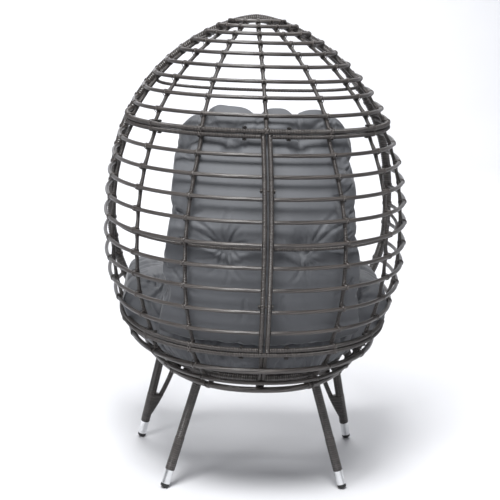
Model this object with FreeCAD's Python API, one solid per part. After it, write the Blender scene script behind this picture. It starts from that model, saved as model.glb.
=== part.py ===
"""Egg chair in wound rattan on a steel frame, free-standing on four splayed legs.

Millimetres. The floor is z = 0, the opening faces -Y, and the origin is on the
floor under the middle of the chair. The shell is one smooth wall: a level gives
its half width and how far back it reaches, and every rail, rung and rib follows
it. Rungs and rails lie just outside the wall, ribs just inside it, and inner
hoops inside the ribs, so that each touches its neighbours where they cross.
"""
import FreeCAD, Part
import os
from math import asin, cos, pi, radians, sin, sqrt

Vector = FreeCAD.Vector

# Form of the wall
WIDEST_Z = 760.0          # level where the shell is widest
HALF_WIDTH = 467.0        # half width there
SHELL_TOP = 1408.0        # level where the wall closes over the opening
WIDTH_UP_POWER = 2.43     # roundness of the width curve above the widest level
WIDTH_ACROSS_POWER = 1.49
WIDTH_FOOT = 290.0        # level where the width curve would close below
WIDTH_FOOT_POWER = 2.3
DEEPEST_Z = 700.0         # level where the back reaches furthest
BACK_REACH = 702.0        # from the top of the opening to the furthest back
BACK_TOP_POWER = 2.19
BACK_FOOT = 270.0         # level where the back curve would close below
BACK_FOOT_POWER = 3.5
PLAN_POWER = 2.3          # roundness of the wall seen from above
OPENING_Y = 24.5 - BACK_REACH / 2     # the opening's plane at the shell's top
OPENING_LEAN = 0.045      # how much further forward it is per millimetre down
NARROW_FROM_Z = 700.0     # below this the opening narrows more than the wall
NARROWING = 0.09          # per millimetre of height, on each side
SIDE_SHARE = 0.2          # where the sides turn back, as a share of the depth
SHOULDER_FROM_Z = 1040.0  # between these two levels the wall's sides draw in
SHOULDER_TO_Z = 1130.0
SHOULDER_FROM_TURN = 0.65 # and between these two turns along the wall
SHOULDER_TO_TURN = 1.0
SHOULDER_DRAW = 11.0      # at the shell's full width, and less where it is narrower
ARCH_UP_POWER = 2.52      # the front arch is a little fuller than the wall
ARCH_ACROSS_POWER = 1.56

# Levels
TOP_RAIL_Z = 1086.0
BOTTOM_RAIL_Z = 494.0
FIRST_RUNG_Z = 546.8
LAST_RUNG_Z = 1037.0
RUNG_RISE = 17.0          # how much the middle rungs close up towards the top
PANEL_RUNGS = 9
DOME_RUNGS = 9
DOME_FIRST_RISE = 40.9992 # from the dome's lower hoop to its first rung
DOME_LAST_ANGLE = 77.6    # degrees up a quarter circle of the dome's height
BOWL_UPPER_RUNG_Z = 428.0
BOWL_LOWER_RUNG_Z = 381.0
BASE_HOOP_Z = 350.0       # at the back; the hoop rises to the lower rung at the sides
BASE_RISE_FROM = 0.25     # between these two turns along the wall
BASE_RISE_TO = 0.75
SEAT_RING_Z = 382.0
DOME_INNER_HOOP_DOWN = 204.0          # below the shell's top
PANEL_INNER_HOOP_Z = 785.0

# Radii over the winding
RUNG = 6.0
RIB = 5.5
RAIL = 7.0
DOME_HOOP = 7.5
SEAM_RAIL = 7.0
FRONT_TUBE = 14.0
BOWL_UPPER_RUNG = 8.0
BASE_HOOP = 9.0
SEAT_RING = 12.0
INNER_HOOP = 5.0
CROSS_BAR = 9.0
SEAT_SLAT = 9.0

# Clearances and joints
GAP = 0.3                 # between pieces that touch
SEAM_SPACING = 19.0       # between the two seam rails' centres
FRONT_INSET = 9.0         # front tube's centre inside the wall
OUTER_DRAW = 15.0         # how far rungs draw in towards the front tube
RIB_SHARES = (0.50, 0.80, 0.965)      # of the half width, for the three ribs
DOME_SHARES = (0.46, 0.795, 0.975)    # and in the dome
SPLIT_Z_TOP = TOP_RAIL_Z + RAIL + GAP / 2
SPLIT_Z_LOW = BOTTOM_RAIL_Z - RAIL - GAP / 2
DOME_HOOP_Z = TOP_RAIL_Z + RAIL + GAP + DOME_HOOP
BOWL_HOOP_Z = BOTTOM_RAIL_Z - 2 * RAIL - GAP
DOME_INNER_HOOP_Z = SHELL_TOP - DOME_INNER_HOOP_DOWN
BASE_SIDE_Z = SEAT_RING_Z - SEAT_RING - GAP - CROSS_BAR    # the seat ring lies on the bars
JOINT_MARGIN = RAIL       # the wall stands straight this far past each bolted joint
RIB_END = 2.0             # ribs end this far short of a hoop's centre

# Lower corners and floor bar of the opening
CORNER_Z = 400.0
BAR_Z = 330.0
BAR_HALF = 169.0
BAR_SAG = 4.0

# Legs: where each foot's dome has its centre, and where the leg meets the base
FOOT_DOME = 16.0
FOOT_RADIUS = 13.5
FOOT_RIM = 7.6            # height of the straight rim over the dome
FOOT_FLAT = 0.5           # depth of the flat that stands on the floor
FOOT_INSET = {"front": 122.0, "rear": 197.0}          # inward from the widest part
FOOT_BEHIND = {"front": 49.5, "rear": 502.5}          # back from the opening's top
LEG_TOP_INSET = {"front": 191.2, "rear": 295.1}
LEG_TUBE = 14.0
LEG_CORE = 11.0
SLEEVE_OUT = 13.4
SLEEVE_LENGTH = 44.0
INSERT_LENGTH = 15.0
STEM = 4.0
STEM_LENGTH = 24.0
CORE_BORE = 14.0          # depth of the bore that takes the stem's end
THREAD_CLEAR = 0.15
SLIP = 0.2                # radial clearance inside the sleeve
BRACE = 8.0
BRACE_START = 52.0        # along the leg, from the foot's dome centre
BRACE_BOW = 0.2           # slope by which the brace bows away from the leg at its ends
FRONT_BRACE_INWARD = 58.0
REAR_BRACE_INWARD = 6.0
WEB_TOP = 150.0           # along the leg, from the foot's dome centre
WEB_DIP = 9.0             # how far the web's upper edge dips between the tubes
WEB_THICK = 11.0
BAR_BEHIND = {"front": 91.8, "middle": 372.5, "rear": 464.2}
SLATS_BEHIND = (76.5, 201.5, 326.5, 451.5)

# Bolts
BOLT = 3.0
BOLT_HOLE = 3.2
BOLT_HEAD = 6.5
BOLT_HEAD_HEIGHT = 4.0
NUT_HEIGHT = 5.0
HOOP_BOLT_TURNS = (0.075, 0.50)       # along the wall, 0 at the seam, 1 at the side
SEAM_BOLT_Z = (625.0, 945.0)

# Cushion
PAD_CLEAR = 30.0          # between the back pad and the wall
PAD_TOP = 1152.0
PAD_FOOT = 505.0
PAD_THICK = 118.0
PAD_SIDE_CLEAR = 205.0    # on each side, from the widest part
PAD_SHOULDER = 0.36       # share of its width that the back pad loses to the top
PAD_SHOULDER_POWER = 14
PAD_TOP_THIN = 0.6        # share of its thickness that it loses to the top
PAD_TOP_POWER = 8
PAD_CUTS = (0.0, 0.06, 0.22, 0.42, 0.63, 0.8, 0.9, 0.965, 1.0)
SEAT_SIDE_CLEAR = 67.0    # from the wings' outermost point to the widest part
SEAT_TIP = HALF_WIDTH - SEAT_SIDE_CLEAR
SEAT_FLAT = SEAT_TIP - 150.0          # half width that lies flat on the slats
SEAT_CUTS = (0.38, 0.606, 0.732, 0.82, 0.897, 0.965, 1.0)
SEAT_END = 4.0            # the last cut stays this far inside the tip
SEAT_UNDER_RISE = 196.0
SEAT_UNDER_POWER = 1.7
SEAT_TOP_Z = 518.0
WING_RISE = 120.0
WING_FROM = SEAT_TIP - 220.0          # the top climbs into the wing between these two
WING_TO = SEAT_TIP - 65.0
WING_ROUND = 50.0         # drop of the wing's top towards its tip
SEAT_FRONT_AHEAD = 4.5    # of the opening's top
WING_SETBACK = 60.0
SEAT_BULGE = 12.0
SEAT_CROWN = 8.0
SEAT_BACK_CLEAR = 34.0
TUFT_ROWS = (778.0, 1070.0)
TUFT_X = 112.0
TUFT_BALL = 58.0
TUFT_DEPTH = 12.0
SEAT_TUFTS_BEHIND = (121.5, 266.5)

STEP_DIFF = 1e-3
RIB_KNOTS = 9
BEND_KNOT = 10.0          # from a bend of the wall to a rib's next knot
LINE_PAST = 12.0          # how far a tube's line is followed past its end
SHORTEST_TURN = 0.05      # between a tube's knots along the wall
STRAIGHT = 1e-5
SIDES = {"left": 1, "right": -1}


# The wall

def level_in_wall(z):
    """The wall stands straight across each bolted joint, so both rails there line up."""
    above, top_level = DOME_HOOP_Z + JOINT_MARGIN, TOP_RAIL_Z - JOINT_MARGIN
    below, low_level = BOWL_HOOP_Z - JOINT_MARGIN, BOTTOM_RAIL_Z + JOINT_MARGIN
    if z >= above:
        return SHELL_TOP - (SHELL_TOP - z) * (SHELL_TOP - top_level) / (SHELL_TOP - above)
    if z <= below:
        return BACK_FOOT + (z - BACK_FOOT) * (low_level - BACK_FOOT) / (below - BACK_FOOT)
    return min(max(z, low_level), top_level)


def half_width(level):
    if level > WIDEST_Z:
        share = min(1.0, (level - WIDEST_Z) / (SHELL_TOP - WIDEST_Z))
        return HALF_WIDTH * (1 - share ** WIDTH_UP_POWER) ** (1 / WIDTH_ACROSS_POWER)
    share = (WIDEST_Z - level) / (WIDEST_Z - WIDTH_FOOT)
    return HALF_WIDTH * (1 - share ** WIDTH_FOOT_POWER) ** (1 / WIDTH_FOOT_POWER)


def back_y(level):
    if level > DEEPEST_Z:
        share = min(1.0, (level - DEEPEST_Z) / (SHELL_TOP - DEEPEST_Z))
        return OPENING_Y + BACK_REACH * (1 - share ** BACK_TOP_POWER)
    share = (DEEPEST_Z - level) / (DEEPEST_Z - BACK_FOOT)
    return OPENING_Y + BACK_REACH * (1 - share ** BACK_FOOT_POWER) ** (1 / BACK_FOOT_POWER)


def opening_y(z):
    return OPENING_Y - OPENING_LEAN * (SHELL_TOP - z)


def narrowing(z):
    return NARROWING * max(0.0, NARROW_FROM_Z - z)


def behind(distance):
    """The y that lies this far behind the opening's top."""
    return OPENING_Y + distance


def inward(inset):
    """The x that lies this far inside the shell's widest part."""
    return HALF_WIDTH - inset


def smooth(value, low, high):
    """0 up to low, 1 from high, and smooth in between."""
    share = min(1.0, max(0.0, (value - low) / (high - low)))
    return share ** 2 * (3 - 2 * share)


def shoulder(z, size):
    """How far the wall's sides draw in, high in the dome."""
    share = smooth(z, SHOULDER_FROM_Z, SHOULDER_TO_Z) * smooth(size, SHOULDER_FROM_TURN, SHOULDER_TO_TURN)
    return SHOULDER_DRAW * half_width(level_in_wall(z)) / HALF_WIDTH * share


def wall(z, turn, draw=OUTER_DRAW):
    """Point of the wall. turn is 0 at the back seam, 1 where the side runs forward, then
    grows to 2 at the opening; it is negative on the right. draw pulls the front edge in."""
    level = level_in_wall(z)
    wide = half_width(level)
    front = opening_y(z)
    side = front + SIDE_SHARE * (back_y(level) - front)
    size = abs(turn)
    if size <= 1:
        x = wide * sin(size * pi / 2) ** (2 / PLAN_POWER)
        y = side + (back_y(level) - side) * cos(size * pi / 2) ** (2 / PLAN_POWER)
    else:
        x = wide - (draw + narrowing(z)) * (size - 1) ** 2
        y = side + (front - side) * (size - 1)
    x -= shoulder(z, size)
    return Vector(x if turn >= 0 else -x, y, z)


def wall_normal(z, turn, draw=OUTER_DRAW):
    """Outward normal, from small steps along the wall and up it."""
    place = 0.0 if abs(turn) < STEP_DIFF else turn
    along = wall(z, place + STEP_DIFF, draw) - wall(z, place - STEP_DIFF, draw)
    step = STEP_DIFF * 10
    up = wall(z + step, turn, draw) - wall(z - step, turn, draw)
    normal = up.cross(along)
    normal.normalize()
    return normal


def on_wall(z, turn, offset, draw=OUTER_DRAW):
    return wall(z, turn, draw) + wall_normal(z, turn, draw) * offset


def at_height(z, turn, offset, draw):
    """A point off the wall that itself lies at height z."""
    level = z
    for _ in range(4):
        level = z - wall_normal(level, turn, draw).z * offset
    return on_wall(level, turn, offset, draw)


def rib_turn(number, z):
    """Where a rib stands on the wall; its share of the width changes from panel to dome."""
    rise = smooth(z, WIDEST_Z, DOME_HOOP_Z)
    share = RIB_SHARES[number] + (DOME_SHARES[number] - RIB_SHARES[number]) * rise
    return asin(share ** (PLAN_POWER / 2)) * 2 / pi


# Tubes: arcs that run on smoothly from each other, and a round section along them

def middle_of_arc(start, tangent, end):
    chord = end - start
    side = chord - tangent * chord.dot(tangent)
    if side.Length < STRAIGHT * chord.Length:
        return None
    radius = chord.Length ** 2 / (2 * side.Length)
    side.normalize()
    centre = start + side * radius
    outward = (start - centre) + (end - centre)
    outward.normalize()
    return centre + outward * radius


def edge_through(start, middle, end):
    if middle is None:
        return Part.LineSegment(start, end).toShape()
    return Part.Arc(start, middle, end).toShape()


def two_arcs(start, leaving, end, arriving):
    """Two arcs from start to end that leave and arrive along the given directions."""
    chord = end - start
    bend = 2 * (1 - leaving.dot(arriving))
    pull = 2 * chord.dot(leaving + arriving)
    reach = chord.dot(chord) / pull
    if bend > 1e-9:
        reach = (-pull + sqrt(pull ** 2 + 4 * bend * chord.dot(chord))) / (2 * bend)
    joint = (start + leaving * reach + end - arriving * reach) * 0.5
    first = edge_through(start, middle_of_arc(start, leaving, joint), joint)
    second = edge_through(joint, middle_of_arc(end, arriving * -1, joint), end)
    return [first, second]


def direction(curve, place, step):
    ahead = curve(place + step) - curve(place - step)
    ahead.normalize()
    return ahead


def tube_through(points, directions, radius):
    edges = []
    for k in range(len(points) - 1):
        edges += two_arcs(points[k], directions[k], points[k + 1], directions[k + 1])
    ring = Part.Wire(Part.Circle(points[0], directions[0], radius).toShape())
    return Part.Wire(edges).makePipe(Part.Face(ring))


def tube(curve, knots, radius):
    step = abs(knots[-1] - knots[0]) * 1e-4
    points = [curve(k) for k in knots]
    directions = [direction(curve, k, step if knots[-1] > knots[0] else -step) for k in knots]
    return tube_through(points, directions, radius)


def distance_to_line(point, line):
    """Least distance from a point to a line of points."""
    best = 1e9
    for a, b in zip(line, line[1:]):
        run = b - a
        share = min(1.0, max(0.0, (point - a).dot(run) / run.dot(run)))
        best = min(best, (point - a - run * share).Length)
    return best


def end_at(curve, clear, beyond, radius, obstacle, reach):
    """Last place on curve, between clear and beyond, where a tube's flat end stays GAP
    outside an obstacle of radius reach round a line of points."""
    step = abs(beyond - clear) * 1e-4
    for _ in range(18):
        place = (clear + beyond) / 2
        centre = curve(place)
        along = direction(curve, place, step)
        across = along.cross(Vector(0.3, 0.2, 1))
        across.normalize()
        third = along.cross(across)
        rim = [centre + (across * cos(k * pi / 8) + third * sin(k * pi / 8)) * radius
               for k in range(16)]
        if min(distance_to_line(p, obstacle) for p in rim + [centre]) > reach + GAP:
            clear = place
        else:
            beyond = place
    return clear


# The front opening's tube

def arch_level(angle):
    return WIDEST_Z + (SHELL_TOP - FRONT_INSET - WIDEST_Z) * sin(radians(angle)) ** (2 / ARCH_UP_POWER)


def arch_angle(z):
    share = (z - WIDEST_Z) / (SHELL_TOP - FRONT_INSET - WIDEST_Z)
    return asin(share ** (ARCH_UP_POWER / 2)) * 180 / pi


def arch(angle):
    """Top of the opening, by degrees round its curve from the left side to the right."""
    z = arch_level(angle)
    lean = cos(radians(angle))
    across = abs(lean) ** (2 / ARCH_ACROSS_POWER) * (HALF_WIDTH - FRONT_INSET)
    return Vector(across if lean > 0 else -across, opening_y(z), z)


def front_side(side):
    """The side of the opening, by level."""
    def curve(z):
        if z > WIDEST_Z:
            return Vector(side * arch(arch_angle(z)).x, opening_y(z), z)
        return Vector(side * (half_width(z) - FRONT_INSET - narrowing(z)), opening_y(z), z)
    return curve


def floor_bar_knots():
    """Points and directions of the opening's lower corners and floor bar, left to right."""
    left = front_side(1)
    down = [SPLIT_Z_LOW - GAP / 2, (SPLIT_Z_LOW + CORNER_Z) / 2, CORNER_Z]
    points = [left(z) for z in down] + [Vector(BAR_HALF, opening_y(BAR_Z), BAR_Z)]
    ways = [direction(left, z, -STEP_DIFF) for z in down] + [Vector(-1, 0, -2 * BAR_SAG / BAR_HALF)]
    ways[-1].normalize()
    points.append(Vector(0, opening_y(BAR_Z - BAR_SAG), BAR_Z - BAR_SAG))
    ways.append(Vector(-1, 0, 0))
    for p, w in list(zip(points, ways))[-2::-1]:
        points.append(Vector(-p.x, p.y, p.z))
        ways.append(Vector(w.x, -w.y, -w.z))
    return points, ways


def bent_line(points, ways):
    """A line of points along the arcs through the given knots."""
    line = [points[0]]
    for k in range(len(points) - 1):
        for edge in two_arcs(points[k], ways[k], points[k + 1], ways[k + 1]):
            line += edge.discretize(14)[1:]
    return line


def spread(first, last, count):
    return [first + (last - first) * k / (count - 1) for k in range(count)]


def side_line(side):
    levels = spread(SPLIT_Z_LOW - LINE_PAST, SPLIT_Z_TOP + LINE_PAST, 60)
    return [front_side(side)(z) for z in levels]


def arch_line():
    start = arch_angle(SPLIT_Z_TOP - LINE_PAST)
    return [arch(angle) for angle in spread(start, 180 - start, 120)]


def floor_line():
    past = [front_side(1)(z) for z in spread(SPLIT_Z_LOW + LINE_PAST, SPLIT_Z_LOW, 4)]
    line = bent_line(*floor_bar_knots())
    return past + line + [Vector(-p.x, p.y, p.z) for p in reversed(past)]


SIDE_LINES = {side: side_line(side) for side in SIDES.values()}
ARCH_LINE = arch_line()
FLOOR_LINE = floor_line()


# Rungs, rails and hoops along the wall

def across_wall(z, offset, draw):
    return lambda turn: at_height(z, turn, offset, draw)


def rib_turns(z):
    return [rib_turn(number, z) for number in range(len(RIB_SHARES))]


def with_middles(knots):
    """The knots, with one more between the neighbours that are far apart."""
    full = [knots[0]]
    for a, b in zip(knots, knots[1:]):
        full += [(a + b) / 2, b] if b - a > 3 * SHORTEST_TURN else [b]
    return full


def whole_hoop(z, radius, offset, draw, front_line, level=None):
    """A tube from the opening's left edge round the back to its right edge, all at height z
    or, where level is given, at the height that it gives for each turn."""
    curve = across_wall(z, offset, draw)
    if level:
        curve = lambda turn: at_height(level(turn), turn, offset, draw)
    end = end_at(curve, rib_turns(z)[1], 2.0, radius, front_line, FRONT_TUBE)
    half = with_middles([0.0] + [k for k in rib_turns(z) + [1.0] if k < end - SHORTEST_TURN] + [end])
    knots = [-k for k in reversed(half[1:])] + half
    points = [curve(k) for k in knots]
    ways = [direction(curve, k, 2e-3) for k in knots]
    return tube_through(points, ways, radius)


def half_hoop(z, radius, offset, draw, side, start_reach):
    """A tube from one seam rail round its side to the opening."""
    curve = across_wall(z, offset, draw)
    end = end_at(lambda k: curve(side * k), 1.0, 2.0, radius, SIDE_LINES[side], FRONT_TUBE)
    half_seam = start_reach / half_width(level_in_wall(z))
    start = asin(half_seam ** (PLAN_POWER / 2)) * 2 / pi
    knots = [side * k for k in with_middles([start] + rib_turns(z) + [1.0, end])]
    points = [curve(k) for k in knots]
    ways = [direction(curve, k, side * 2e-3) for k in knots]
    return tube_through(points, ways, radius)


def outside(radius):
    return radius + GAP / 2


def inside_ribs(radius):
    return -(2 * RIB + radius + 1.5 * GAP)


# Sections of the shell

def panel_rung_levels():
    even = spread(0, 1, PANEL_RUNGS)
    return [FIRST_RUNG_Z + (LAST_RUNG_Z - FIRST_RUNG_Z) * t + RUNG_RISE * t * sin(pi * t)
            for t in even]


def dome_level(angle):
    return WIDEST_Z + (SHELL_TOP - WIDEST_Z) * sin(radians(angle))


def dome_angle(z):
    return asin((z - WIDEST_Z) / (SHELL_TOP - WIDEST_Z)) * 180 / pi


def dome_rung_levels():
    first = dome_angle(DOME_HOOP_Z + DOME_FIRST_RISE)
    return [dome_level(a) for a in spread(first, DOME_LAST_ANGLE, DOME_RUNGS)]


def make_dome():
    nodes = {}
    joint = arch_angle(SPLIT_Z_TOP) + 0.01
    nodes["dome_front_arch"] = [tube(arch, spread(joint, 180 - joint, 17), FRONT_TUBE)]
    nodes["dome_hoop"] = [whole_hoop(DOME_HOOP_Z, DOME_HOOP, outside(DOME_HOOP), OUTER_DRAW, ARCH_LINE)]
    nodes["dome_rungs"] = [whole_hoop(z, RUNG, outside(RUNG), OUTER_DRAW, ARCH_LINE)
                           for z in dome_rung_levels()]
    nodes["dome_inner_hoop"] = [whole_hoop(DOME_INNER_HOOP_Z, INNER_HOOP, inside_ribs(INNER_HOOP),
                                           0.0, ARCH_LINE)]
    nodes["dome_centre_rib"] = [dome_rib(None, 1)]
    nodes["dome_ribs"] = [dome_rib(n, side) for side in SIDES.values() for n in range(3)]
    return nodes


def dome_rib(number, side):
    """From the dome's lower hoop up over to the front arch, by angle up the ellipse."""
    def curve(angle):
        z = dome_level(angle)
        turn = 0.0 if number is None else side * rib_turn(number, z)
        return on_wall(z, turn, -outside(RIB))
    first, after = [dome_angle(DOME_HOOP_Z + up) for up in (RIB_END, JOINT_MARGIN + 2 * BEND_KNOT)]
    last = end_at(curve, after, 89.5, RIB, ARCH_LINE, FRONT_TUBE)
    return tube(curve, [first] + spread(after, last, RIB_KNOTS), RIB)


def make_panel(name, side):
    nodes = {}
    seam = SEAM_SPACING / 2
    reach = seam + SEAM_RAIL + GAP
    hoop = lambda z, radius: half_hoop(z, radius, outside(radius), OUTER_DRAW, side, reach)
    nodes[name + "_top_rail"] = [hoop(TOP_RAIL_Z, RAIL)]
    nodes[name + "_bottom_rail"] = [hoop(BOTTOM_RAIL_Z, RAIL)]
    nodes[name + "_rungs"] = [hoop(z, RUNG) for z in panel_rung_levels()]
    inner_reach = seam + SEAM_RAIL + 4 * GAP
    nodes[name + "_inner_hoop"] = [half_hoop(PANEL_INNER_HOOP_Z, INNER_HOOP,
                                             inside_ribs(INNER_HOOP), 0.0, side, inner_reach)]

    def seam_curve(z):
        return Vector(side * seam, at_height(z, 0.0, outside(RUNG), OUTER_DRAW).y, z)
    levels = bent_levels(BOTTOM_RAIL_Z - RAIL, TOP_RAIL_Z + RAIL, False)
    nodes[name + "_seam_rail"] = [tube(seam_curve, levels, SEAM_RAIL)]
    nodes[name + "_ribs"] = [panel_rib(n, side) for n in range(3)]
    ends = spread(SPLIT_Z_LOW, SPLIT_Z_TOP - GAP / 2, 6)
    nodes[name + "_front_rail"] = [tube(front_side(side), ends, FRONT_TUBE)]
    return nodes


def bent_levels(first, last, close=True):
    """Levels up a panel, with knots close to where the wall straightens for its joints, and
    at those bends too where the tube has to keep close to the wall."""
    low, high = BOTTOM_RAIL_Z + JOINT_MARGIN, TOP_RAIL_Z - JOINT_MARGIN
    between = spread(low + BEND_KNOT, high - BEND_KNOT, RIB_KNOTS)
    return [first, low] + between + [high, last] if close else [first] + between + [last]


def panel_rib(number, side):
    curve = lambda z: on_wall(z, side * rib_turn(number, z), -outside(RIB))
    return tube(curve, bent_levels(BOTTOM_RAIL_Z + RIB_END, TOP_RAIL_Z - RIB_END), RIB)


def make_bowl():
    nodes = {}
    low = FLOOR_LINE
    nodes["bowl_hoop"] = [whole_hoop(BOWL_HOOP_Z, RAIL, outside(RAIL), OUTER_DRAW, low)]
    nodes["bowl_upper_rung"] = [whole_hoop(BOWL_UPPER_RUNG_Z, BOWL_UPPER_RUNG,
                                           outside(BOWL_UPPER_RUNG), OUTER_DRAW, low)]
    nodes["bowl_lower_rung"] = [whole_hoop(BOWL_LOWER_RUNG_Z, RUNG, outside(RUNG), OUTER_DRAW, low)]
    nodes["base_hoop"] = [whole_hoop(BASE_HOOP_Z, BASE_HOOP, outside(BASE_HOOP), OUTER_DRAW, low,
                                     base_level)]
    nodes["seat_ring"] = [whole_hoop(SEAT_RING_Z, SEAT_RING, inside_ribs(SEAT_RING), 0.0, low)]
    points, ways = floor_bar_knots()
    nodes["bowl_front_bar"] = [tube_through(points, ways, FRONT_TUBE)]
    nodes["bowl_ribs"] = [bowl_rib(n, side) for side in SIDES.values() for n in range(3)]
    nodes["bowl_centre_rib"] = [bowl_rib(None, side) for side in SIDES.values()]
    nodes["base_cross_bars"] = [straight_bar(behind(far), BASE_SIDE_Z, CROSS_BAR, base_hoop_line(),
                                             BASE_HOOP) for far in BAR_BEHIND.values()]
    slat_z = SEAT_RING_Z + SEAT_RING - SEAT_SLAT
    nodes["seat_slats"] = [straight_bar(behind(far), slat_z, SEAT_SLAT, seat_ring_line(), SEAT_RING)
                           for far in SLATS_BEHIND]
    return nodes


def bowl_rib(number, side):
    """A rib of the bowl; without a number, one of the pair that stands at the back's middle."""
    def curve(z):
        if number is None:
            return on_wall(z, 0.0, -outside(RIB)) + Vector(side * outside(RIB), 0, 0)
        return on_wall(z, side * rib_turn(number, z), -outside(RIB))
    turn = 0.0 if number is None else rib_turn(number, BOWL_LOWER_RUNG_Z)
    levels = spread(base_level(turn), BOWL_HOOP_Z - JOINT_MARGIN - 2 * BEND_KNOT, 5)
    return tube(curve, levels + [BOWL_HOOP_Z - RIB_END], RIB)


def base_level(turn):
    """Height of the base hoop's centre line, from the back round to the sides."""
    return BASE_HOOP_Z + (BASE_SIDE_Z - BASE_HOOP_Z) * smooth(abs(turn), BASE_RISE_FROM, BASE_RISE_TO)


def base_hoop_line():
    return [at_height(base_level(k), k, outside(BASE_HOOP), OUTER_DRAW)
            for k in spread(-1.95, 1.95, 400)]


def seat_ring_line():
    return [at_height(SEAT_RING_Z, k, inside_ribs(SEAT_RING), 0.0) for k in spread(-1.95, 1.95, 400)]


def straight_bar(y, z, radius, line, reach):
    """A bar from side to side between two flanks of a hoop."""
    flank = min(line, key=lambda p: abs(p.y - y)).x
    half = end_at(lambda x: Vector(x, y, z), 0.0, abs(flank), radius, line, reach)
    return Part.makeCylinder(radius, 2 * half, Vector(-half, y, z), Vector(1, 0, 0))


# Legs

def cylinder(start, along, length, radius):
    return Part.makeCylinder(radius, length, start, along)


def above_base():
    """The space from the underside of the base upwards, which the legs keep clear of."""
    size = 2 * HALF_WIDTH
    corner = Vector(-size, -size, BASE_SIDE_Z - CROSS_BAR - GAP)
    return Part.makeBox(2 * size, 2 * size, size, corner)


def make_leg(place, name, side):
    centre = Vector(side * inward(FOOT_INSET[place]), behind(FOOT_BEHIND[place]), FOOT_DOME - FOOT_FLAT)
    top = Vector(side * inward(LEG_TOP_INSET[place]), behind(BAR_BEHIND[place]), BASE_SIDE_Z - CROSS_BAR)
    along = top - centre
    length = along.Length + LEG_TUBE
    along.normalize()
    label = place + "_" + name + "_"

    rim_from = -sqrt(FOOT_DOME ** 2 - FOOT_RADIUS ** 2)
    rim_to = rim_from + FOOT_RIM
    at = lambda s: centre + along * s
    sleeve_from = rim_to + GAP
    tube_from = sleeve_from + SLEEVE_LENGTH + GAP
    insert_from = sleeve_from
    core_from = insert_from + INSERT_LENGTH + GAP

    uphill = Vector(0, 0, 1) - along * along.z
    uphill.normalize()
    off_axis = lambda radius, s: at(s) + uphill * radius
    half_angle = asin(FOOT_RADIUS / FOOT_DOME) / 2
    tip = at(-FOOT_DOME)
    dome_middle = off_axis(FOOT_DOME * sin(half_angle), -FOOT_DOME * cos(half_angle))
    corners = [off_axis(FOOT_RADIUS, rim_from), off_axis(FOOT_RADIUS, rim_to), off_axis(STEM, rim_to),
               off_axis(STEM, rim_to + STEM_LENGTH), at(rim_to + STEM_LENGTH), tip]
    profile = [Part.Arc(tip, dome_middle, corners[0]).toShape()]
    profile += [Part.LineSegment(a, b).toShape() for a, b in zip(corners, corners[1:])]
    glide = Part.Face(Part.Wire(profile)).revolve(centre, along, 360)
    floor = Part.makeBox(4 * FOOT_DOME, 4 * FOOT_DOME, 4 * FOOT_DOME,
                         centre - Vector(2 * FOOT_DOME, 2 * FOOT_DOME, 4 * FOOT_DOME + centre.z))
    glide = glide.cut(floor)

    sleeve = cylinder(at(sleeve_from), along, SLEEVE_LENGTH, SLEEVE_OUT)
    sleeve = sleeve.cut(cylinder(at(sleeve_from - 1), along, SLEEVE_LENGTH + 2, LEG_CORE + SLIP))

    insert = cylinder(at(insert_from), along, INSERT_LENGTH, LEG_CORE)
    insert = insert.cut(cylinder(at(insert_from - 1), along, INSERT_LENGTH + 2, STEM + THREAD_CLEAR))

    leg = cylinder(at(tube_from), along, length - tube_from, LEG_TUBE)
    leg = leg.fuse(cylinder(at(core_from), along, tube_from - core_from + 1, LEG_CORE))
    leg = leg.cut(cylinder(at(core_from - 1), along, CORE_BORE + 1, STEM + THREAD_CLEAR))
    leg = leg.cut(above_base()).removeSplitter()

    start = at(BRACE_START)
    if place == "front":
        end = top - Vector(side * FRONT_BRACE_INWARD, 0, 0)
    else:
        end = Vector(top.x - side * REAR_BRACE_INWARD, behind(BAR_BEHIND["middle"]), top.z)
    end = end + Vector(0, 0, BRACE)
    chord = end - start
    chord.normalize()
    away = chord - along * chord.dot(along)
    away.normalize()
    leaving = chord + away * BRACE_BOW
    arriving = chord - away * BRACE_BOW
    leaving.normalize()
    arriving.normalize()
    whole_leg = cylinder(at(0), along, length, LEG_TUBE + GAP)
    brace = tube_through([start, end], [leaving, arriving], BRACE)
    brace = brace.cut(whole_leg).cut(above_base())

    line = bent_line([start, end], [leaving, arriving])
    reach = WEB_TOP - BRACE_START
    outer = [p for p in line if (p - start).dot(along) < reach]
    low, high, side_top = start, at(WEB_TOP), outer[-1]
    dip = (high + side_top) * 0.5 - along * WEB_DIP
    edges = [Part.LineSegment(low, high).toShape(), Part.Arc(high, dip, side_top).toShape()]
    edges += [Part.LineSegment(a, b).toShape() for a, b in zip(outer[::-1], outer[-2::-1])]
    across = along.cross(away)
    across.normalize()
    web = Part.Face(Part.Wire(edges))
    web.translate(across * (-WEB_THICK / 2))
    web = web.extrude(across * WEB_THICK)
    web = web.cut(whole_leg).cut(tube_through([start, end], [leaving, arriving], BRACE + GAP))

    return {label + "leg": [leg], label + "leg_brace": [brace], label + "leg_web": [web],
            label + "sleeve": [sleeve], label + "foot": [glide]}, insert


# Bolts: each goes through two tubes, with its head on one side and a nut on the other

def make_bolt(start, along, grip):
    """A bolt from its head's seat at start, and its nut beyond the grip."""
    bolt = cylinder(start - along * BOLT_HEAD_HEIGHT, along, BOLT_HEAD_HEIGHT, BOLT_HEAD)
    bolt = bolt.fuse(cylinder(start - along, along, grip + NUT_HEIGHT + GAP + 2, BOLT))
    nut_at = start + along * (grip + GAP)
    nut = cylinder(nut_at, along, NUT_HEIGHT, BOLT_HEAD)
    nut = nut.cut(cylinder(nut_at - along, along, NUT_HEIGHT + 2, BOLT_HOLE))
    return [bolt.removeSplitter(), nut]


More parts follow.
